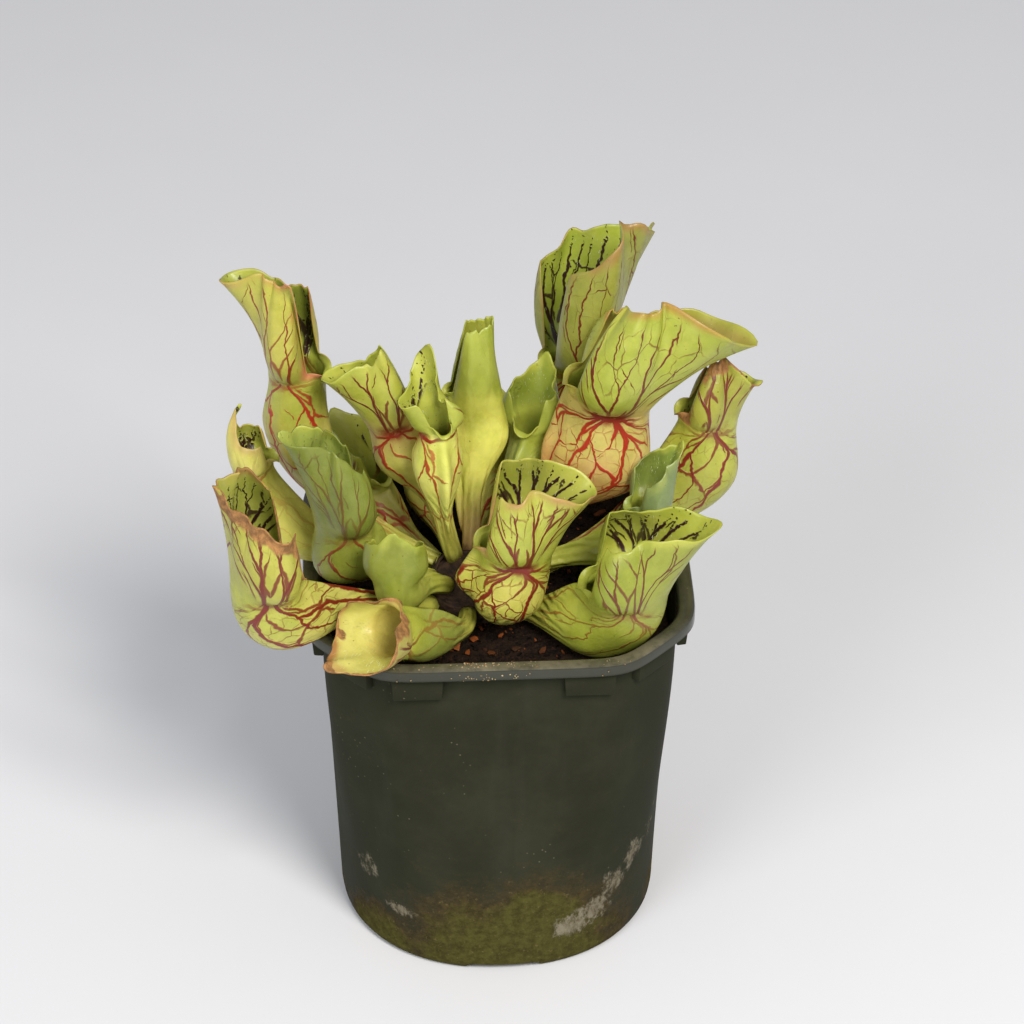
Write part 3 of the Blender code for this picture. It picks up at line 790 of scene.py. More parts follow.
def crown_material():
    material, w, shader = new_material("rhizome")
    place = w.place()
    scar = w.noise(w.stretch(place, (260.0, 260.0, 900.0)), 1.0, 5.0, 0.7)
    colour = w.mix(w.step(scar, 0.35, 0.65), (0.02, 0.01, 0.006), (0.09, 0.045, 0.025))
    w.fill(shader, {"Base Color": colour, "Roughness": 0.8, "Normal": w.bump(scar, 0.0006, 0.8)})
    return material


crown_mesh = mesh_of("rhizome_crown", build_crown(np.random.default_rng(8)), 50.0)
finish_piece("rhizome_crown", crown_mesh, [crown_material()], "crown")
print("crown faces:", len(crown_mesh.polygons))

# %% [markdown]
# ## The form of a pitcher
#
# A pitcher could be sculpted by hand, but nineteen of them that share one growth plan are better grown by
# a rule. A middle line runs from the rhizome to the mouth. Rings round it swell from stalk to belly and
# narrow to the neck. From the mouth the same columns of points go on upwards as the hood, leaning
# outwards or curling, and at the front they roll over at once as the lip. The measures are those of the
# coarse solids, so the fine leaf lies in the same place.
#
# Angles are in degrees, counted from the pot's right side. Heading, reach and height place the mouth, and
# facing turns it. Leave, tier and start say where and how steeply the stalk sets out, rise how steeply it
# arrives, and pull how far it keeps to both directions. Stalk, belly and neck are radii, belly_at is the
# belly's place along the tube, hang lets it sag outwards, and wing is the ridge on the inner side. Hood and
# lobe are the hood's height at the back and at the sides, corner and tip change its ends and its middle,
# opening is where it gives way to the lip. Lean and flare tip it outwards at its foot and at its rim, and
# the rest make it uneven. Curl rolls one stretch of the rim: its middle, half width and turn.

# %% Measures of the pitchers
LEAF_THICKNESS = 0.9
LEAF_SEAT = 0.75  # between the crown and a stalk's middle line, besides the stalk's own slant
ROOT_DEPTH = 2.0  # how far a stalk reaches back into the crown
PITCHER = dict(
    tier=20.0, start=35.0, rise=80.0, pull=(0.45, 0.35), stalk=2.6, stalk_end=0.22,
    belly=11.0, belly_at=0.72, hang=0.35, neck=8.0, squeeze=0.9, wing=2.5,
    hood=26.0, lobe=24.0, corner=0.95, tip=3.0, opening=142.0, lip=2.5,
    lean=(30.0, 60.0), flare=(15.0, -25.0), shoulder=45.0, tilt=0.0, skew=0.0, wave=4.0, waves=7,
    ruffle=3.0, curl=(0.0, 30.0, 0.0),
)
REAR = dict(
    reach=54, tier=3, start=14, rise=85, belly=8.5, hang=0.1, neck=7.5, hood=20, lobe=14, lean=(20, 40),
    flare=(6, 0), shoulder=15)
PITCHERS = {
    "pitcher_back_left_tall": dict(
        heading=150, reach=64, height=70, facing=162, tier=30, start=12, rise=88, pull=(0.62, 0.5),
        belly=10.5, belly_at=0.8, neck=9.5, hood=37, lobe=36, corner=1.0, tip=0, opening=128.0,
        lean=(2, 42), flare=(4, -20), skew=0.18, ruffle=5, curl=(112, 24, 80)),
    "pitcher_left_upper": dict(
        heading=143, leave=125, reach=30, height=60, facing=190, tier=50, start=60, rise=74, belly=9.0,
        neck=9.0, wing=1.0, hood=26, lobe=25, corner=1.15, tip=0, lean=(8, 34), flare=(8, -20),
        shoulder=25, skew=0.15),
    "pitcher_centre_left": dict(
        heading=175, reach=10, height=67, facing=105, tier=70, start=75, rise=86, belly=9, neck=6.2,
        wing=4, hood=24, lobe=14, lean=(-2, 6), tilt=50, wave=14, waves=5),
    "pitcher_centre_upright": dict(
        heading=84, reach=28, height=61, facing=2, tier=62, start=62, rise=89, belly=9.0, neck=9.2,
        wing=4, hood=30, lobe=28, corner=1.0, tip=0, opening=155, lean=(-12, 0), flare=(-4, -16),
        shoulder=10, wave=1, ruffle=1),
    "pitcher_centre_right": dict(
        heading=58, reach=43, height=43, facing=65, tier=35, start=58, rise=88, belly=8.0, neck=8,
        hood=18, lobe=15, tip=4, lean=(10, 20), ruffle=2),
    "pitcher_right_large": dict(
        heading=27, reach=53.5, height=63, facing=-9, tier=25, start=38, rise=75, belly=16.5,
        belly_at=0.64, neck=15, hood=41, lobe=39, lean=(22, 50), flare=(20, -35), skew=-0.28,
        ruffle=10),
    "pitcher_back_right_tall": dict(
        heading=62, leave=58, reach=78, height=46, facing=16, tier=5, start=12, rise=84, belly=10.5,
        neck=8.5, hood=51, lobe=58, corner=0.75, tip=6, lean=(5, 30), flare=(26, -12), skew=-0.2,
        ruffle=4),
    "pitcher_far_right": dict(
        heading=19, leave=14, reach=86, height=50, facing=-5, tier=5, start=15, rise=84, belly=12.5,
        belly_at=0.78, neck=10.0, hood=16, lobe=23, lean=(4, 30), flare=(0, -40), skew=-0.25,
        curl=(0, 30, 70)),
    "pitcher_right_young": dict(
        heading=0, reach=60, height=33, facing=15, tier=30, start=18, rise=88, belly=8, neck=7, hood=22,
        lobe=19, corner=0.7, lean=(0, 20), ruffle=3),
    "pitcher_front_right": dict(
        heading=-34, leave=-38, reach=60, height=24.5, facing=-10, tier=2, start=8, rise=90,
        pull=(0.45, 0.3), stalk=3.2, stalk_end=0.1, belly=13.0, belly_at=0.57, hang=0.15, neck=14.5,
        hood=29, lobe=27, tip=5, lean=(18, 42), flare=(15, -40)),
    "pitcher_front_centre": dict(
        heading=-58, leave=-70, reach=27, height=35, facing=-4, tier=16, start=14, rise=86,
        pull=(0.45, 0.25), stalk=3.5, stalk_end=0.05, belly=12, belly_at=0.5, hang=0.0, neck=12.5,
        wing=5, hood=27, lobe=30, tip=0, lean=(14, 44), flare=(15, -25), skew=-0.02, ruffle=4),
    "pitcher_front_left_lying": dict(
        heading=239, leave=265, reach=53, height=19, facing=221, tier=2, start=4, rise=20, belly=8.0,
        neck=9.5, hood=25, lobe=13, lean=(-4, 4), flare=(22, 8), ruffle=3),
    "pitcher_front_left_small": dict(
        heading=227, reach=37, height=27, facing=265, tier=36, start=36, rise=90, belly=7.5, hang=0.1,
        neck=7.5, hood=22, lobe=16, corner=0.8, tip=0, lean=(-8, 0), flare=(14, -10), wave=2, ruffle=1),
    "pitcher_left_dull": dict(
        heading=190, reach=42, height=36, facing=200, tier=28, start=25, rise=88, belly=11.5, neck=10.0,
        hood=39, lobe=35, corner=0.75, lean=(5, 22), flare=(15, -25), ruffle=4),
    "pitcher_far_left": dict(
        heading=213, reach=80, height=38, facing=198, tier=5, start=30, rise=90, pull=(0.45, 0.25),
        belly=12.0, neck=11.5, hood=40, lobe=37, corner=0.85, lean=(-5, 18), flare=(15, -25),
        skew=-0.12, ruffle=5, curl=(95, 50, 60)),
    "pitcher_left_pointed": dict(
        heading=172, reach=72, height=48, facing=182, tier=3, start=18, rise=85, belly=10.0, neck=7.0,
        hood=24, lobe=12, lean=(14, -40), ruffle=2),
    "pitcher_rear_left": dict(REAR, heading=127, height=18, facing=130, start=16),
    "pitcher_rear_middle": dict(REAR, heading=105, height=17, facing=105),
    "pitcher_rear_right": dict(REAR, heading=82, height=18, facing=80),
}
print("pitchers:", len(PITCHERS))


# %% The middle line
def azimuth(degrees):
    """A level direction."""
    a = math.radians(degrees)
    return Vector((math.cos(a), math.sin(a), 0.0))


def climb(direction, degrees):
    """A level direction raised by some degrees."""
    a = math.radians(degrees)
    return direction * math.cos(a) + Vector((0.0, 0.0, math.sin(a)))


def middle_line(leaf):
    """The four control points of a pitcher's middle line, from the rhizome to the mouth."""
    leave = azimuth(leaf.get("leave", leaf["heading"]))
    root = climb(leave, leaf["tier"])
    tangent = climb(leave, leaf["start"])
    seat = LEAF_SEAT + leaf["stalk"] * math.sin(root.angle(tangent))
    p0 = CROWN + root * (crown_radius(root) + seat)
    p3 = CROWN + azimuth(leaf["heading"]) * leaf["reach"] + Vector((0.0, 0.0, leaf["height"] - 1.0))
    span = (p3 - p0).length
    p1 = p0 + tangent * span * leaf["pull"][0]
    p2 = p3 - climb(azimuth(leaf["facing"]), leaf["rise"]) * span * leaf["pull"][1]
    return [np.array(p) for p in (p0, p1, p2, p3)]


def unit(vectors):
    return vectors / np.linalg.norm(vectors, axis=-1, keepdims=True)


def line_frames(leaf, points, t):
    """Places on the middle line with the directions along it, to the leaf's back and sideways."""
    p0, p1, p2, p3 = points
    t = np.asarray(t, float)[..., None]
    s = 1.0 - t
    place = p0 * s**3 + p1 * 3 * s * s * t + p2 * 3 * s * t * t + p3 * t**3
    along = unit((p1 - p0) * s * s + (p2 - p1) * 2 * s * t + (p3 - p2) * t * t)
    side = np.array(Vector((0.0, 0.0, 1.0)).cross(azimuth(leaf["facing"])))
    side = unit(side - along * (along @ side)[..., None])
    return place, along, np.cross(side, along), side


print("first stalk starts at", middle_line({**PITCHER, **PITCHERS["pitcher_far_left"]})[0].round(1), "mm")


# %% Tube and hood
def tube_points(leaf, points, t, v):
    """Points of the tube: v is 0 at the back and half a turn at the wing in front."""
    place, along, back, side = line_frames(leaf, points, t)
    stalk, belly, neck, mid = leaf["stalk"], leaf["belly"], leaf["neck"], leaf["belly_at"]
    thin = leaf["stalk_end"]
    width = eased([(0, stalk), (thin, stalk * 1.05), (mid, belly * 0.96), (1.0, neck)], t)
    deep = eased([(0, stalk), (thin, stalk), (mid, belly), (0.97, neck * 0.93), (1.0, neck * 0.95)], t)
    shift = leaf["hang"] * (deep - stalk) * smooth(t / mid) * (1 - smooth((t - mid) / (1.04 - mid)))
    x = np.cos(v) * deep + shift
    y = np.sin(v) * width * (1.0 - (1.0 - leaf["squeeze"]) * smooth(1.5 * t))
    ridge = leaf["wing"] * np.sin(np.pi * np.clip((t - 0.06) / 0.9, 0.0, 1.0)) ** 0.7
    x = x - ridge * np.exp(-(((np.abs(v) - np.pi) / 0.2) ** 2))
    return place + back * x[..., None] + side * y[..., None]


def hood_height(leaf, v):
    a = np.degrees(np.abs(v))
    hood, lobe, lip, end = leaf["hood"], leaf["lobe"], leaf["lip"], leaf["opening"]
    keys = [(0, hood), (75, lobe), (end - 22, lobe * leaf["corner"]), (end, lip * 1.4), (180, lip)]
    skew = 1.0 + leaf["skew"] * np.sin(v) * (1 - smooth((a - end + 22) / 22.0))
    return eased(keys, a) * skew + leaf["tip"] * np.exp(-((a / 11.0) ** 2))


def hood_lean(leaf, v, s, ripple):
    """How far a hood column leans outwards, in degrees, at a share s of its height."""
    a = np.degrees(np.abs(v))
    end = leaf["opening"]
    back = leaf["lean"][0] + (leaf["lean"][1] - leaf["lean"][0]) * s
    sides = leaf["flare"][0] + (leaf["flare"][1] - leaf["flare"][0]) * s
    share = smooth(a / 70.0)
    lean = back * (1 - share) + sides * share
    lean = lean + leaf["tilt"] * s * np.sin(v)
    lean = lean + leaf["shoulder"] * np.exp(-(((a - (end - 42)) / 34.0) ** 2)) * (1 - smooth(s / 0.45))
    lip = smooth((a - end) / (180.0 - end))
    lean = lean * (1 - lip) + (40.0 + 120.0 * s) * lip
    lean = lean + leaf["wave"] * s * s * np.sin(leaf["waves"] * v) * (1 - lip)
    middle, half, turn = leaf["curl"]
    rolled = np.exp(-(((np.degrees(v) - middle) / half) ** 2)) * smooth((s - 0.82) / 0.18)
    return lean + (leaf["ruffle"] * s**2 * ripple + turn * rolled) * (1 - lip)


def rim_ripple(v, rng):
    """A few sine waves round the rim, so that no two frills are alike."""
    total = np.zeros_like(v)
    for waves, weight in ((3, 0.7), (6, 0.8), (11, 0.6), (17, 0.35)):
        total = total + weight * np.sin(waves * v + rng.uniform(0, 2 * np.pi))
    return total


HOOD_STEPS = 6  # short steps that make up each row of a hood's curve


def hood_points(leaf, points, v, rows, rng):
    """All columns of the hood, from the mouth up: an array of rows + 1 by columns by 3."""
    _, along, back, side = line_frames(leaf, points, 1.0)
    out = np.cos(v)[:, None] * back + np.sin(v)[:, None] * side
    start = tube_points(leaf, points, np.ones_like(v), v)
    ripple = rim_ripple(v, rng)
    notch = 1.0 + 0.02 * rim_ripple(v, rng) * (hood_height(leaf, v) > 8.0)
    step = hood_height(leaf, v) * notch / (rows * HOOD_STEPS)
    s = (np.arange(rows * HOOD_STEPS) + 0.5) / (rows * HOOD_STEPS)
    lean = np.radians(hood_lean(leaf, v[None, :], s[:, None], ripple[None, :]))
    moves = (np.cos(lean)[..., None] * along + np.sin(lean)[..., None] * out[None]) * step[None, :, None]
    path = np.concatenate([np.zeros((1,) + moves.shape[1:]), np.cumsum(moves, axis=0)])
    return start[None] + path[::HOOD_STEPS]


upright = {**PITCHER, **PITCHERS["pitcher_centre_upright"]}
print("a hood's height at the back:", round(float(hood_height(upright, np.zeros(1))[0]), 1), "mm")

# %% [markdown]
# A flat chart is laid over each leaf so that veins can be drawn on it. Along, it measures from the mouth,
# and across, from the middle of each side, in millimetres on the surface. The two sides mirror each other
# at the back. On the real leaf the veins of a side squeeze through one knot at the neck and fan out above
# and below it, so the chart's width is gathered there, and it also shrinks with the tube towards the
# stalk.

# %% A leaf's points and chart
SIDE_MIDDLE = 80.0  # degrees from the back
CHART_KNOT = 0.16  # how narrow the chart gets at the neck
CHART_FAN_UP = 24.0
CHART_FAN_DOWN = 6.0
COLUMN_STEP = 1.05
TUBE_STEP = 1.3
HOOD_STEP = 1.0
FAR_FROM_RIM = 99.0


def path_lengths(points, axis):
    """How far each point of a row of points is from the first one, along the row."""
    steps = np.linalg.norm(np.diff(points, axis=axis), axis=-1)
    return np.concatenate([np.zeros_like(steps.take([0], axis)), np.cumsum(steps, axis)], axis)


def leaf_rows(leaf, rng):
    """Points of the whole leaf as an array of rows by columns, with the numbers of tube and hood rows."""
    points = middle_line(leaf)
    t = np.linspace(0.0, 1.0, 60)
    lengths = path_lengths(line_frames(leaf, points, t)[0], 0)
    widest = max(leaf["belly"], leaf["neck"] + 0.25 * leaf["hood"])
    columns = int(np.clip(2 * np.pi * widest / COLUMN_STEP, 56, 104)) // 2 * 2
    tube_rows = int(np.clip(lengths[-1] / TUBE_STEP, 30, 80))
    hood_rows = int(np.clip(leaf["hood"] / HOOD_STEP, 18, 44))
    v = np.linspace(-np.pi, np.pi, columns + 1)
    t = np.interp(np.linspace(0.0, lengths[-1], tube_rows + 1), lengths, t)
    t[0] = -ROOT_DEPTH / (3.0 * np.linalg.norm(points[1] - points[0]))
    tube = tube_points(leaf, points, t[:, None] + 0 * v[None, :], v[None, :] + 0 * t[:, None])
    hood = hood_points(leaf, points, v, hood_rows, rng)
    grid = np.concatenate([tube, hood[1:]])
    return uneven(grid, tube_rows, v, rng), tube_rows, hood_rows


def uneven(grid, tube_rows, v, rng):
    """Moves the wall in and out a little, with soft pleats that run along the leaf."""
    rows = len(grid)
    down = np.roll(grid, -1, axis=0) - grid
    down[-1] = down[-2]
    aside = np.gradient(grid, axis=1)
    aside[:, 0] = aside[:, -1] = (grid[:, 1] - grid[:, -2]) / 2
    normal = unit(np.cross(aside, down) + 1e-9)
    row = np.arange(rows)[:, None] / tube_rows
    bend = 0.0
    for waves, climb_rate, size in ((2, 3.0, 0.35), (5, 5.0, 0.22), (9, 2.0, 0.12), (13, 7.0, 0.07)):
        start = rng.uniform(0, 2 * np.pi, 2)
        swing = np.sin(climb_rate * row + start[1])
        bend = bend + size * np.sin(waves * v[None, :] + start[0] + 1.5 * swing) * swing
    grown = smooth((row - 0.35) / 0.3)
    return grid + normal * (bend * grown)[..., None]


def leaf_chart(grid, tube_rows, hood_rows):
    """Chart places across and along, and each point's gathering, level, fan and distance to the rim."""
    rows, columns = grid.shape[:2]
    back = columns // 2
    arc = path_lengths(grid, 1)
    arc = np.abs(arc - arc[:, back][:, None])
    turn = np.linspace(-180.0, 180.0, columns)
    middle = [(np.interp(SIDE_MIDDLE, turn, row) + np.interp(-SIDE_MIDDLE, turn, row)) / 2 for row in arc]
    across = arc - np.array(middle)[:, None]
    along = path_lengths(grid, 0)
    along = along - along[tube_rows]
    girth = arc.max(axis=1)
    share = np.clip(girth / girth[:tube_rows].max(), 0.05, 1.0)[:, None] + 0 * along
    grown = 1.0 - (1.0 - share[tube_rows]) * np.exp(-np.maximum(along, 0.0) / 10.0)
    share = np.where(along > 0, grown, share)
    fan_length = np.where(along > 0, CHART_FAN_UP, CHART_FAN_DOWN)
    gather = share * (1.0 - (1.0 - CHART_KNOT) * np.exp(-((along / fan_length) ** 2)))
    limit = girth[:tube_rows].max() * (0.62 + 0.45 * smooth(along / 12.0))
    fan = 1.0 - smooth((np.abs(across / gather) / limit - 0.9) / 0.3)
    level = np.concatenate([np.linspace(-1, 0, tube_rows + 1), np.linspace(0, 1, hood_rows + 1)[1:]])
    level = level[:, None] + np.zeros((1, columns))
    rim = grid[-1]
    edge = np.full((rows, columns), FAR_FROM_RIM)
    for row in range(tube_rows, rows):
        edge[row] = np.linalg.norm(grid[row][:, None] - rim[None], axis=2).min(axis=1)
    return dict(across=across, along=along, gather=gather, level=level, edge=edge, fan=fan)


print("rows and columns of one leaf:", leaf_rows(upright, np.random.default_rng(0))[0].shape[:2])

# %% Mesh of a leaf
MASKS = ("gather", "level", "edge", "fan")


def leaf_bmesh(grid, chart):
    """A bmesh grid wrapped into the leaf, with its chart as a UV map and its masks as attributes."""
    rows, columns = grid.shape[0] - 1, grid.shape[1] - 1
    bm = bmesh.new()
    uv = bm.loops.layers.uv.new("chart")
    layers = {key: bm.verts.layers.float.new(key) for key in MASKS}
    bmesh.ops.create_grid(bm, x_segments=columns, y_segments=rows, size=0.5)
    flat = chart["across"] / chart["gather"]
    place = {}
    for vert in bm.verts:
        column, row = round((vert.co.x + 0.5) * columns), round((vert.co.y + 0.5) * rows)
        place[vert] = (row, column)
        for key, layer in layers.items():
            vert[layer] = chart[key][row, column]
    for face in bm.faces:
        for loop in face.loops:
            row, column = place[loop.vert]
            loop[uv].uv = (flat[row, column], chart["along"][row, column])
    for vert, (row, column) in place.items():
        vert.co = grid[row, column] * MM
    seam = [v for v, (row, column) in place.items() if column in (0, columns)]
    foot = [v for v, (row, column) in place.items() if row == 0]
    bmesh.ops.remove_doubles(bm, verts=seam, dist=1e-6)
    foot = {v for v in foot if v.is_valid}
    ring = [e for e in bm.edges if e.is_boundary and e.verts[0] in foot and e.verts[1] in foot]
    bmesh.ops.contextual_create(bm, geom=ring)
    bmesh.ops.recalc_face_normals(bm, faces=bm.faces)
    root = Vector(grid[0].mean(axis=0))
    cap = min(bm.faces, key=lambda face: (face.calc_center_median() - root * MM).length)
    inward = Vector(grid[3].mean(axis=0)) - root
    if cap.normal.dot(inward) > 0:
        bmesh.ops.reverse_faces(bm, faces=bm.faces)
    return bm


print("masks:", ", ".join(MASKS))

# %% [markdown]
# ## Veins
#
# The veins are a shader pattern on the chart: rows of trunks that all run through the knot and fork on
# their way out. A fork is a fold. The distance to a trunk is taken without its sign, and an offset that
# grows from nothing past the fork's place is taken off it, so one line becomes two that part smoothly.
# Each trunk and branch forks at a height of its own, and noise bends them. The trunks stand closer on the
# tube than on the hood. Stretched Voronoi cells add a few links from vein to vein, which taper off where
# they fade out, and smaller cells add the fine net. The gathering turns distances back into millimetres,
# so the lines keep their width while they crowd together in the dark knot at the neck.


# %% Vein group
def vein_group():
    group, w, start, end = new_group(
        "pitcher_veins",
        {"Spacing": ("Float", 28.0), "Tube Spacing": ("Float", 17.0), "Width": ("Float", 1.3),
         "Net Width": ("Float", 0.3), "Links": ("Float", 0.8), "Wander": ("Float", 7.0),
         "Jag": ("Float", 0.6)},
        dict.fromkeys(("Main", "Net", "Along", "Across"), "Float"))
    gather, fan = w.attribute("gather"), w.attribute("fan")
    place = w.place()
    drift = w.vector("SUBTRACT", w.noise(place, 95.0, 3.0, start["Jag"], out="Color"), (0.5, 0.5, 0.5))
    drift = w.add("VectorMath", {0: drift, "Scale": start["Wander"]}, operation="SCALE")
    chart = w.vector("ADD", w.add("UVMap", uv_map="chart"), drift)
    x, y = w.part(chart, X), w.part(chart, Y)
    reach = w.math("ABSOLUTE", y)
    spacing = w.blend(w.math("LESS_THAN", y, 0.0), start["Spacing"], start["Tube Spacing"])

    def chance(key):
        return w.add("TexWhiteNoise", {"W": key}, noise_dimensions="1D")

    def line(distance, width, soft):
        half = w.times(width, 0.5)
        return w.step(distance, w.plus(half, soft), w.times(half, 0.4))

    def fork(distance, opened, share):
        return w.minus(w.math("ABSOLUTE", distance), w.times(opened, w.times(spacing, share)))

    # Trunks: the signed distance to the nearest one, in chart millimetres
    cell = w.math("FLOOR", w.math("DIVIDE", x, spacing))
    trunk = w.minus(w.minus(x, w.times(cell, spacing)), w.times(spacing, 0.5))
    below = w.step(y, 0.0, -1.0)
    # First forks, and then second ones, which come much later down the tube
    first = w.plus(w.times(chance(cell), 9.0), 3.0)
    opened = w.step(reach, first, w.plus(first, 13.0))
    fold = fork(trunk, opened, 0.25)
    branch = w.plus(w.times(cell, 3.7), w.math("SIGN", trunk))
    second = w.plus(w.times(chance(branch), 24.0), w.plus(first, 8.0))
    second = w.plus(second, w.times(below, 30.0))
    split = w.step(reach, second, w.plus(second, 12.0))
    twig = fork(fold, split, 0.125)
    twig_key = w.plus(w.times(branch, 2.3), w.times(w.math("SIGN", fold), 0.4))
    faint = w.step(chance(twig_key), 0.15, 0.45, 0.45, 1.0)
    # Veins thin out with each fork and towards the rim
    thin = w.blend(below, w.step(reach, 4.0, 42.0, 1.35, 0.75), w.step(reach, 4.0, 60.0, 1.5, 0.8))
    thin = w.times(thin, w.minus(1.0, w.times(opened, 0.2)), w.minus(1.0, w.times(split, 0.25)))
    swell = w.times(thin, w.step(w.noise(place, 90.0, 2.0), 0.35, 0.65, 0.75, 1.25))
    width = w.times(start["Width"], swell, faint)
    main = w.times(line(w.times(w.math("ABSOLUTE", twig), gather), width, 0.12), fan)

    def cell_edges(share, stretch, shift):
        size = w.times(spacing, share)
        u = w.math("DIVIDE", w.plus(x, shift), size)
        v = w.math("DIVIDE", y, w.times(size, stretch))
        values = {"Vector": w.add("CombineXYZ", {0: u, 1: v}), "Scale": 1.0, "Randomness": 0.9}
        edge = w.add("TexVoronoi", values, feature="DISTANCE_TO_EDGE", voronoi_dimensions="2D")
        return w.times(edge, size, gather)

    present = w.step(w.noise(place, 60.0, 2.0), 0.42, 0.56)
    link_width = w.times(start["Width"], w.times(swell, 0.6), present)
    links = line(cell_edges(0.62, 1.4, 31.0), link_width, 0.12)
    links = w.times(links, w.step(present, 0.0, 0.25), w.times(start["Links"], fan))
    net = line(cell_edges(0.26, 1.3, 77.0), start["Net Width"], 0.08)
    w.put(end["Main"], w.most(main, links))
    w.put(end["Net"], w.times(net, w.step(gather, 0.3, 0.7)))
    w.put(end["Along"], y)
    w.put(end["Across"], w.times(x, gather))
    return group


VEINS = vein_group()
print("group:", VEINS.name)

# %% [markdown]
# ## Skin
#
# The skin's ground colour goes from a flushed stalk over a cream or yellow belly to a green hood, with
# darker and paler mottling and a patchy flush along the rim. The veins are drawn over it in red, and on
# the inside of the hood nearly black, where their ends break up into dots. A red line of painted shade
# follows the fold between tube and hood, where the hood overhangs the tube. Old rims dry to a tan paper
# edge, wide in some places and missing in others.
# Every leaf has its own mixture, given by one table, and all go through the same two groups.


# %% Skin group
SPECKS = (0.12, 0.05, 0.015)


def skin_group():
    colours = {"Foot": (0.3, 0.1, 0.05), "Belly": (0.6, 0.5, 0.12), "Neck": (0.5, 0.45, 0.1),
               "Hood": (0.35, 0.3, 0.05), "Margin": (0.5, 0.3, 0.12), "Vein": (0.13, 0.012, 0.012),
               "Tube Vein": (0.42, 0.03, 0.012), "Dry": (0.42, 0.2, 0.06)}
    floats = {"Tube Veins": 0.85, "Hood Veins": 0.95, "Net": 0.15, "Knot": 0.6, "Spacing": 28.0,
              "Tube Spacing": 17.0, "Width": 1.15, "Net Width": 0.3, "Links": 0.8, "Jag": 0.6,
              "Dots": 0.0, "Flush": -0.5, "Dry Width": 0.0, "Mottle": 0.42, "Bare Rim": 5.0}
    inputs = {key: ("Color", value) for key, value in colours.items()}
    inputs.update({key: ("Float", value) for key, value in floats.items()})
    group, w, start, end = new_group("pitcher_skin", inputs,
                                     {"Colour": "Color", "Roughness": "Float", "Height": "Float"})
    veins = place_group(w, VEINS, {key: start[key] for key in (
        "Spacing", "Tube Spacing", "Width", "Net Width", "Links", "Jag")})
    place = w.place()
    level, edge = w.attribute("level"), w.attribute("edge")
    blotch = w.noise(place, 70.0, 4.0, 0.6)
    fine = w.noise(place, 420.0, 4.0, 0.65)
    grit = w.noise(place, 800.0, 1.0)

    def swayed(value, by, reach):
        """A value moved up and down by noise, so that what it marks has an uneven edge."""
        return w.plus(value, w.times(w.minus(by, 0.5), reach))

    # Ground colour from the stalk up, and the flushed rim
    shifted = swayed(level, blotch, 0.35)
    ground = w.mix(w.step(shifted, -0.95, start["Flush"]), start["Foot"], start["Belly"])
    ground = w.mix(w.step(shifted, -0.3, -0.02), ground, start["Neck"])
    ground = w.mix(w.step(shifted, 0.0, 0.3), ground, start["Hood"])
    near = w.step(swayed(edge, blotch, 5.0), 4.0, 0.3)
    flushed = w.step(w.noise(place, 45.0, 2.0), 0.42, 0.58, 0.2, 0.85)
    ground = w.mix(w.times(near, flushed), ground, start["Margin"])
    # Mottling: greener, darker and paler islands
    ground = w.mix(w.step(blotch, 0.42, 0.64, 0.0, 0.55), ground, w.shade(ground, 0.8, 1.06, 0.515))
    islands = w.step(w.noise(place, 210.0, 5.0, 0.7), 0.42, 0.62)
    ground = w.mix(w.times(islands, start["Mottle"]), ground, w.shade(ground, 0.72, 1.08))
    ground = w.mix(w.times(w.step(fine, 0.5, 0.7), 0.35), ground, w.shade(ground, 1.18, 0.88))
    # Veins, more on the hood or on the tube, that stop short of the rim
    ragged = swayed(edge, w.noise(place, 160.0, 3.0), 5.0)
    up = w.step(level, -0.14, 0.06)
    gain = w.blend(up, start["Tube Veins"], start["Hood Veins"])
    rim_fade = w.step(ragged, 0.5, start["Bare Rim"])
    # On the inside the ends of the veins break up into dots, and more dots lie between them
    bits = w.plus(grit, w.times(rim_fade, 0.45))
    rim_fade = w.blend(start["Dots"], rim_fade, w.step(bits, 0.6, 0.68))
    fade = w.times(w.step(level, -1.0, -0.55), rim_fade)
    dots_where = w.step(w.noise(place, 75.0, 2.0), 0.55, 0.62)
    dots = w.times(w.step(w.spots(place, 330.0), 0.2, 0.12), dots_where, start["Dots"])
    dots = w.times(dots, w.times(gain, rim_fade))
    main = w.most(w.times(veins["Main"], gain, fade), dots)
    net = w.times(w.times(veins["Net"], start["Net"]), w.times(fade, w.step(blotch, 0.35, 0.6, 0.2, 1.0)))
    # The knot at the neck, and a red line of painted shade along the fold, where the hood overhangs the
    # tube
    oval = w.add("CombineXYZ", {0: w.times(veins["Across"], 0.14), 1: w.times(veins["Along"], 0.22)})
    knot = w.times(w.step(w.length(oval), 1.3, 0.2), w.step(fine, 0.3, 0.6, 0.5, 1.0))
    fold = w.math("ABSOLUTE", w.plus(veins["Along"], w.times(blotch, 3.0)))
    fold = w.times(w.step(fold, 1.1, 0.4), w.step(w.math("ABSOLUTE", veins["Across"]), 15.0, 4.0))
    # The Knot value sets the strength of both the knot and the painted shade line.
    knot = w.times(w.most(knot, fold), start["Knot"])
    mask = w.most(main, w.times(net, 0.8), knot)
    colour = w.mix(w.step(mask, 0.0, 0.95), ground, w.mix(up, start["Tube Vein"], start["Vein"]))
    # A few brown specks, and the dry rim
    colour = w.mix(w.step(grit, 0.75, 0.8, 0.0, 0.7), colour, SPECKS)
    dry_reach = w.times(start["Dry Width"], w.step(w.noise(place, 55.0, 3.0), 0.42, 0.62, 0.15, 1.7))
    dry = w.step(ragged, dry_reach, w.times(dry_reach, 0.7))
    dry = w.times(dry, w.step(start["Dry Width"], 0.05, 0.3))
    paper = w.mix(w.step(fine, 0.35, 0.65), start["Dry"], w.shade(start["Dry"], 0.5))
    w.put(end["Colour"], w.mix(dry, colour, paper))
    w.put(end["Roughness"], w.plus(w.step(fine, 0.3, 0.7, 0.34, 0.46), w.times(dry, 0.35)))
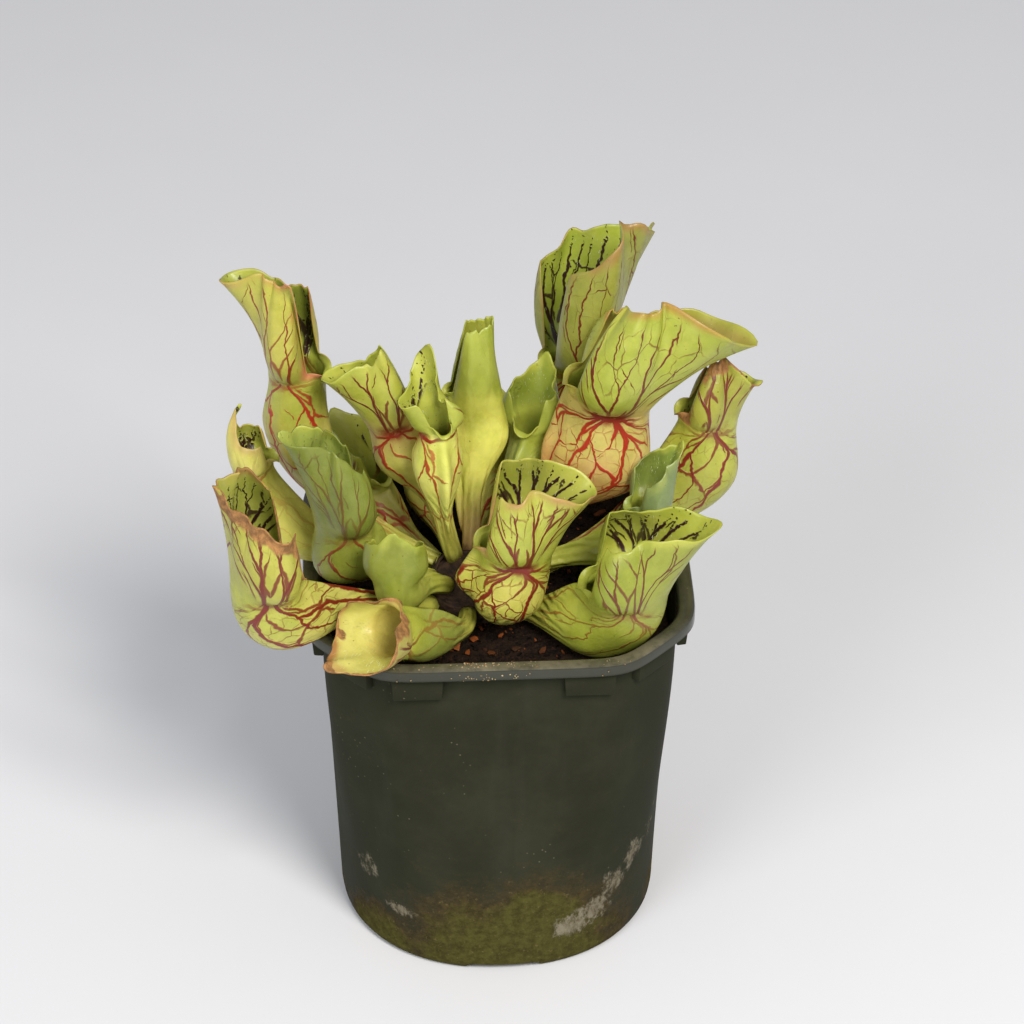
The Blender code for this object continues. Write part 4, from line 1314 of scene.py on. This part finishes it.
    # Low relief: raised veins, and fine ribs along the stalk
    ribs = w.math("SINE", w.times(veins["Across"], 2.2))
    ribs = w.times(ribs, w.step(level, -0.35, -0.75, 0.0, 0.7))
    height = w.plus(w.times(mask, 0.6), w.plus(w.times(fine, 0.35), ribs))
    w.put(end["Height"], w.plus(height, w.times(blotch, 0.8)))
    return group


SKIN = skin_group()
print("group:", SKIN.name)

# %% [markdown]
# ## Two skins for every leaf
#
# The two sides of a leaf don't look the same. Outside, the light that shines through it softens its
# shading, which subsurface scattering gives. The inside of the hood is plain green with dark veins that
# fade towards the rim. So each leaf has two materials, both made from the one group with other values.

# %% Skin materials
SKIN_GLOW = 0.12
GLOW_REACH = (1.0, 0.7, 0.25)  # red light travels furthest
GLOW_DEPTH = 0.0009


def skin_material(name, values, glow=0.0):
    """The skin of one side of a leaf; glow is how much light comes through it."""
    material, w, shader = new_material(name)
    skin = place_group(w, SKIN, values)
    w.fill(shader, {"Base Color": skin["Colour"], "Roughness": skin["Roughness"],
                    "Normal": w.bump(skin["Height"], 0.0005, 0.8)})
    if glow > 0.0:
        w.fill(shader, {"Subsurface Weight": glow, "Subsurface Radius": GLOW_REACH,
                        "Subsurface Scale": GLOW_DEPTH})
    return material


print("light reaches", round(GLOW_DEPTH / MM, 1), "mm into a leaf")

# %% Looks of the pitchers
LIME = (0.4, 0.43, 0.06)
FRESH = (0.47, 0.48, 0.07)
CREAM = (0.6, 0.55, 0.12)
STRAW = (0.52, 0.5, 0.09)
LEAF_GREEN = (0.31, 0.36, 0.05)
PINK = (0.5, 0.24, 0.1)
ROSE = (0.58, 0.13, 0.06)
RED = (0.16, 0.018, 0.007)
BROWN_RED = (0.14, 0.032, 0.012)
DARK_RED = (0.2, 0.015, 0.006)
BRICK = (0.24, 0.03, 0.01)
BLACK_RED = (0.03, 0.006, 0.008)
OUTER = dict(Foot=STRAW, Belly=CREAM, Neck=FRESH, Hood=LIME, Margin=FRESH, Vein=RED)
# The inner hood's green is partly its own and partly a painted glow: it is paler to stand for light shining
# through the hood.
INNER = {"Foot": LIME, "Belly": LIME, "Neck": LIME, "Hood": FRESH, "Margin": FRESH, "Vein": BLACK_RED,
         "Spacing": 20.0, "Width": 2.0, "Bare Rim": 12.0, "Net": 0.0, "Knot": 0.0, "Tube Veins": 0.1,
         "Hood Veins": 1.0, "Jag": 0.85, "Dots": 1.0, "Mottle": 0.25}
OUTSIDE = {  # what each pitcher has of its own
    "pitcher_back_left_tall": {
        "Hood": (0.5, 0.46, 0.08), "Belly": (0.5, 0.44, 0.09), "Margin": (0.56, 0.17, 0.09),
        "Vein": BRICK, "Tube Veins": 1.0, "Hood Veins": 0.9, "Spacing": 36.0},
    "pitcher_left_upper": {
        "Hood": (0.46, 0.46, 0.07), "Neck": (0.56, 0.4, 0.12), "Tube Veins": 0.9, "Knot": 0.9},
    # The bellies of the next two are partly their own pale cream and partly a painted glow, paler to stand
    # for light shining through the tube.
    "pitcher_centre_left": {
        "Belly": (0.8, 0.78, 0.18), "Neck": (0.72, 0.7, 0.15), "Tube Veins": 0.8, "Knot": 1.0},
    "pitcher_centre_upright": {
        "Belly": (0.82, 0.8, 0.16), "Neck": (0.6, 0.6, 0.1), "Hood": (0.38, 0.42, 0.06),
        "Foot": (0.6, 0.38, 0.16), "Tube Veins": 0.15, "Hood Veins": 0.15, "Knot": 0.1, "Net": 0.0},
    "pitcher_centre_right": {
        "Belly": (0.42, 0.46, 0.08), "Neck": LIME, "Hood": LEAF_GREEN, "Tube Veins": 0.15,
        "Hood Veins": 0.3, "Knot": 0.1, "Net": 0.0},
    "pitcher_right_large": {
        "Belly": (0.68, 0.62, 0.18), "Neck": (0.62, 0.48, 0.13), "Hood": (0.43, 0.46, 0.065),
        "Margin": (0.46, 0.24, 0.06), "Foot": ROSE, "Flush": 0.05, "Tube Veins": 1.0, "Knot": 1.0,
        "Spacing": 34.0, "Width": 1.5, "Net": 0.75, "Net Width": 0.4, "Links": 1.0, "Bare Rim": 9.0},
    "pitcher_back_right_tall": {
        "Hood": (0.35, 0.35, 0.06), "Margin": (0.4, 0.22, 0.07), "Spacing": 32.0, "Width": 1.4,
        "Net": 0.5, "Net Width": 0.4, "Links": 1.0},
    "pitcher_far_right": {
        "Belly": (0.4, 0.4, 0.06), "Hood": (0.36, 0.35, 0.05), "Tube Veins": 1.0, "Net": 0.5,
        "Dry Width": 4.0, "Tube Vein": DARK_RED},
    "pitcher_right_young": {
        "Belly": LIME, "Hood": (0.22, 0.28, 0.1), "Tube Veins": 0.0, "Hood Veins": 0.1, "Knot": 0.0,
        "Net": 0.0},
    "pitcher_front_right": {
        "Belly": (0.42, 0.44, 0.06), "Neck": (0.34, 0.36, 0.05), "Hood": (0.3, 0.33, 0.042),
        "Tube Veins": 0.6, "Width": 0.85, "Spacing": 34.0, "Vein": BROWN_RED, "Tube Vein": BRICK,
        "Knot": 0.4},
    "pitcher_front_centre": {
        "Belly": (0.6, 0.55, 0.11), "Hood": (0.46, 0.47, 0.075), "Margin": PINK, "Tube Vein": DARK_RED,
        "Tube Veins": 1.0, "Hood Veins": 1.0, "Width": 1.3, "Net": 1.0, "Net Width": 0.45,
        "Spacing": 24.0, "Knot": 1.0},
    "pitcher_front_left_lying": {
        "Belly": (0.3, 0.32, 0.06), "Hood": (0.42, 0.36, 0.09), "Tube Veins": 0.5, "Knot": 0.2,
        "Vein": BROWN_RED, "Tube Vein": BRICK, "Dry Width": 4.0},
    "pitcher_front_left_small": {
        "Belly": (0.4, 0.42, 0.07), "Neck": (0.3, 0.33, 0.05), "Hood": (0.26, 0.29, 0.04), "Margin": LIME,
        "Tube Veins": 0.0, "Hood Veins": 0.12, "Knot": 0.0, "Net": 0.0},
    "pitcher_left_dull": {
        "Belly": (0.32, 0.35, 0.055), "Neck": (0.3, 0.32, 0.05), "Hood": (0.22, 0.25, 0.04),
        "Margin": (0.24, 0.27, 0.045), "Vein": BROWN_RED, "Tube Vein": BRICK, "Tube Veins": 0.8,
        "Hood Veins": 0.6, "Spacing": 22.0, "Knot": 0.4},
    "pitcher_far_left": {
        "Belly": (0.62, 0.57, 0.13), "Hood": (0.45, 0.43, 0.07), "Margin": ROSE, "Tube Vein": DARK_RED,
        "Tube Veins": 1.0, "Hood Veins": 1.0, "Width": 1.75, "Net": 0.7, "Net Width": 0.4,
        "Dry Width": 4.0},
    "pitcher_left_pointed": {
        "Hood": (0.66, 0.6, 0.14), "Neck": (0.6, 0.56, 0.12), "Margin": (0.48, 0.34, 0.1),
        "Tube Veins": 0.3, "Hood Veins": 0.3, "Net": 0.0},
    "pitcher_rear_middle": {"Hood": LEAF_GREEN},
    "pitcher_rear_right": {"Margin": PINK},
}
INSIDE = {  # and the same for its inner side
    "pitcher_back_left_tall": {"Hood": (0.3, 0.33, 0.05)},
    "pitcher_centre_upright": {"Hood Veins": 0.3},
    "pitcher_centre_right": {"Hood": LEAF_GREEN, "Hood Veins": 0.3},
    "pitcher_right_large": {"Hood": (0.42, 0.34, 0.07), "Hood Veins": 0.2},
    "pitcher_back_right_tall": {"Hood": (0.4, 0.45, 0.06), "Width": 2.7},
    "pitcher_right_young": {"Hood": (0.26, 0.32, 0.06), "Hood Veins": 0.2},
    "pitcher_front_centre": {"Hood": (0.44, 0.44, 0.07)},
    "pitcher_front_left_lying": {
        "Hood": (0.64, 0.58, 0.15), "Neck": (0.6, 0.5, 0.12), "Belly": (0.5, 0.38, 0.1),
        "Margin": (0.36, 0.11, 0.04), "Hood Veins": 0.0, "Dry Width": 2.5},
    "pitcher_front_left_small": {"Hood Veins": 0.0},
    # This inner hood's green is partly its own and partly painted light: it is paler to lift it out of the
    # shade it lies in.
    "pitcher_left_dull": {"Hood": (0.42, 0.48, 0.1), "Hood Veins": 0.4},
    "pitcher_far_left": {"Hood": (0.44, 0.45, 0.08), "Margin": PINK},
}
print("pitchers with looks of their own:", len(set(OUTSIDE) | set(INSIDE)))

# %% [markdown]
# ## Growing the leaves
#
# Each leaf is grown as a sheet with no thickness. A Solidify modifier then gives it a wall, which keeps
# the mesh simple and puts the second material on its inner side. A vertex group thins the wall towards
# the rim of the hood, because a real leaf ends in a fine edge that catches the light.

# %% Grow the leaves
RIM_SHARE = 0.4
THICKENING = 0.1  # what a millimetre away from the rim adds to the share


def wall_share(edge):
    """The wall's share of its full thickness at a distance from the rim in millimetres."""
    return min(1.0, RIM_SHARE + THICKENING * edge)


def grow_leaf(name):
    leaf = {**PITCHER, **PITCHERS[name]}
    rng = np.random.default_rng(sum(map(ord, name)))
    grid, tube_rows, hood_rows = leaf_rows(leaf, rng)
    chart = leaf_chart(grid, tube_rows, hood_rows)
    bm = leaf_bmesh(grid, chart)
    mesh = bpy.data.meshes.new(name + "_leaf")
    bm.to_mesh(mesh)
    bm.free()
    mesh.shade_smooth()
    skins = [skin_material(name + "_outside", {**OUTER, **OUTSIDE.get(name, {})}, SKIN_GLOW),
             skin_material(name + "_inside", {**INNER, **INSIDE.get(name, {})})]
    piece = finish_piece(name + "_leaf", mesh, skins, name)
    group = piece.vertex_groups.new(name="thickness")
    for index, item in enumerate(mesh.attributes["edge"].data):
        group.add((index,), wall_share(item.value), "REPLACE")
    wall = piece.modifiers.new("Wall", "SOLIDIFY")
    wall.vertex_group = group.name
    wall.thickness = LEAF_THICKNESS * MM
    wall.offset = 0.0
    wall.material_offset = 1
    print(name, "faces:", len(mesh.polygons))
    return grid, tube_rows, chart["edge"], rng


leaves = [grow_leaf(name) for name in PITCHERS]

# %% [markdown]
# ## Hairs
#
# Inside the hood grow short stiff hairs that all point down into the tube, so that an insect slips in.
# Particle hair is drawn at render time and has no faces, so each hair here is a thin three-sided cone of
# its own. It stands on the inner side of the wall, at a random place between two rows and two columns of
# the leaf.

# %% Hairs
HAIRS_PER_LEAF = 110
HAIR_SPREAD = 105.0  # degrees to each side of the hood's back
HAIR_LENGTH = 1.3
HAIR_WIDTH = 0.13
HAIR_TIP = 1 / 6  # the tip's share of the width
HAIR_ROOT = 0.05


def hair_places(grid, tube_rows, edge, rng):
    """Roots, directions and sizes of the hairs on the inner side of a hood, in millimetres."""
    rows, columns = grid.shape[:2]
    back, reach = columns // 2, int(columns * HAIR_SPREAD / 360.0)
    hairs = []
    for _ in range(HAIRS_PER_LEAF):
        row = rng.integers(tube_rows + 3, rows - 2)
        column = back + rng.integers(-reach, reach)
        root = grid[row, column]
        aside, below = grid[row, column + 1] - root, grid[row - 1, column] - root
        inward = unit(np.cross(aside, below))
        if inward @ (grid[row].mean(axis=0) - root) < 0:
            inward = -inward
        depth = LEAF_THICKNESS / 2 * wall_share(edge[row, column]) - HAIR_ROOT
        root = root + aside * rng.random() + below * rng.random() + inward * depth
        hairs.append((root, unit(0.7 * inward + 0.8 * unit(below)), rng.uniform(0.55, 1.0)))
    return hairs


def build_hairs(hairs):
    bm = bmesh.new()
    for first in range(0, len(hairs), BATCH):
        batch = bmesh.new()
        for root, direction, size in hairs[first:first + BATCH]:
            length = HAIR_LENGTH * size
            turn = Vector((0.0, 0.0, 1.0)).rotation_difference(Vector(direction))
            stand = Matrix.LocRotScale(Vector(root + direction * length / 2), turn, None)
            bmesh.ops.create_cone(batch, cap_ends=True, segments=3, radius1=HAIR_WIDTH / 2,
                                  radius2=HAIR_WIDTH * HAIR_TIP / 2, depth=length, matrix=stand)
        pour(bm, batch)
    bmesh.ops.scale(bm, vec=(MM, MM, MM), verts=bm.verts)
    return bm


def hair_material():
    material, w, shader = new_material("pale_hairs")
    shade = w.step(w.noise(w.place(), 160.0), 0.4, 0.6)
    w.fill(shader, {"Base Color": w.mix(shade, (0.44, 0.5, 0.16), (0.6, 0.6, 0.34)), "Roughness": 0.4})
    return material


hairs = [hair for leaf in leaves for hair in hair_places(*leaf)]
hair_mesh = mesh_of("hood_hairs", build_hairs(hairs), 60.0)
finish_piece("hood_hairs", hair_mesh, [hair_material()])
print("hairs:", len(hairs), "faces:", len(hair_mesh.polygons))
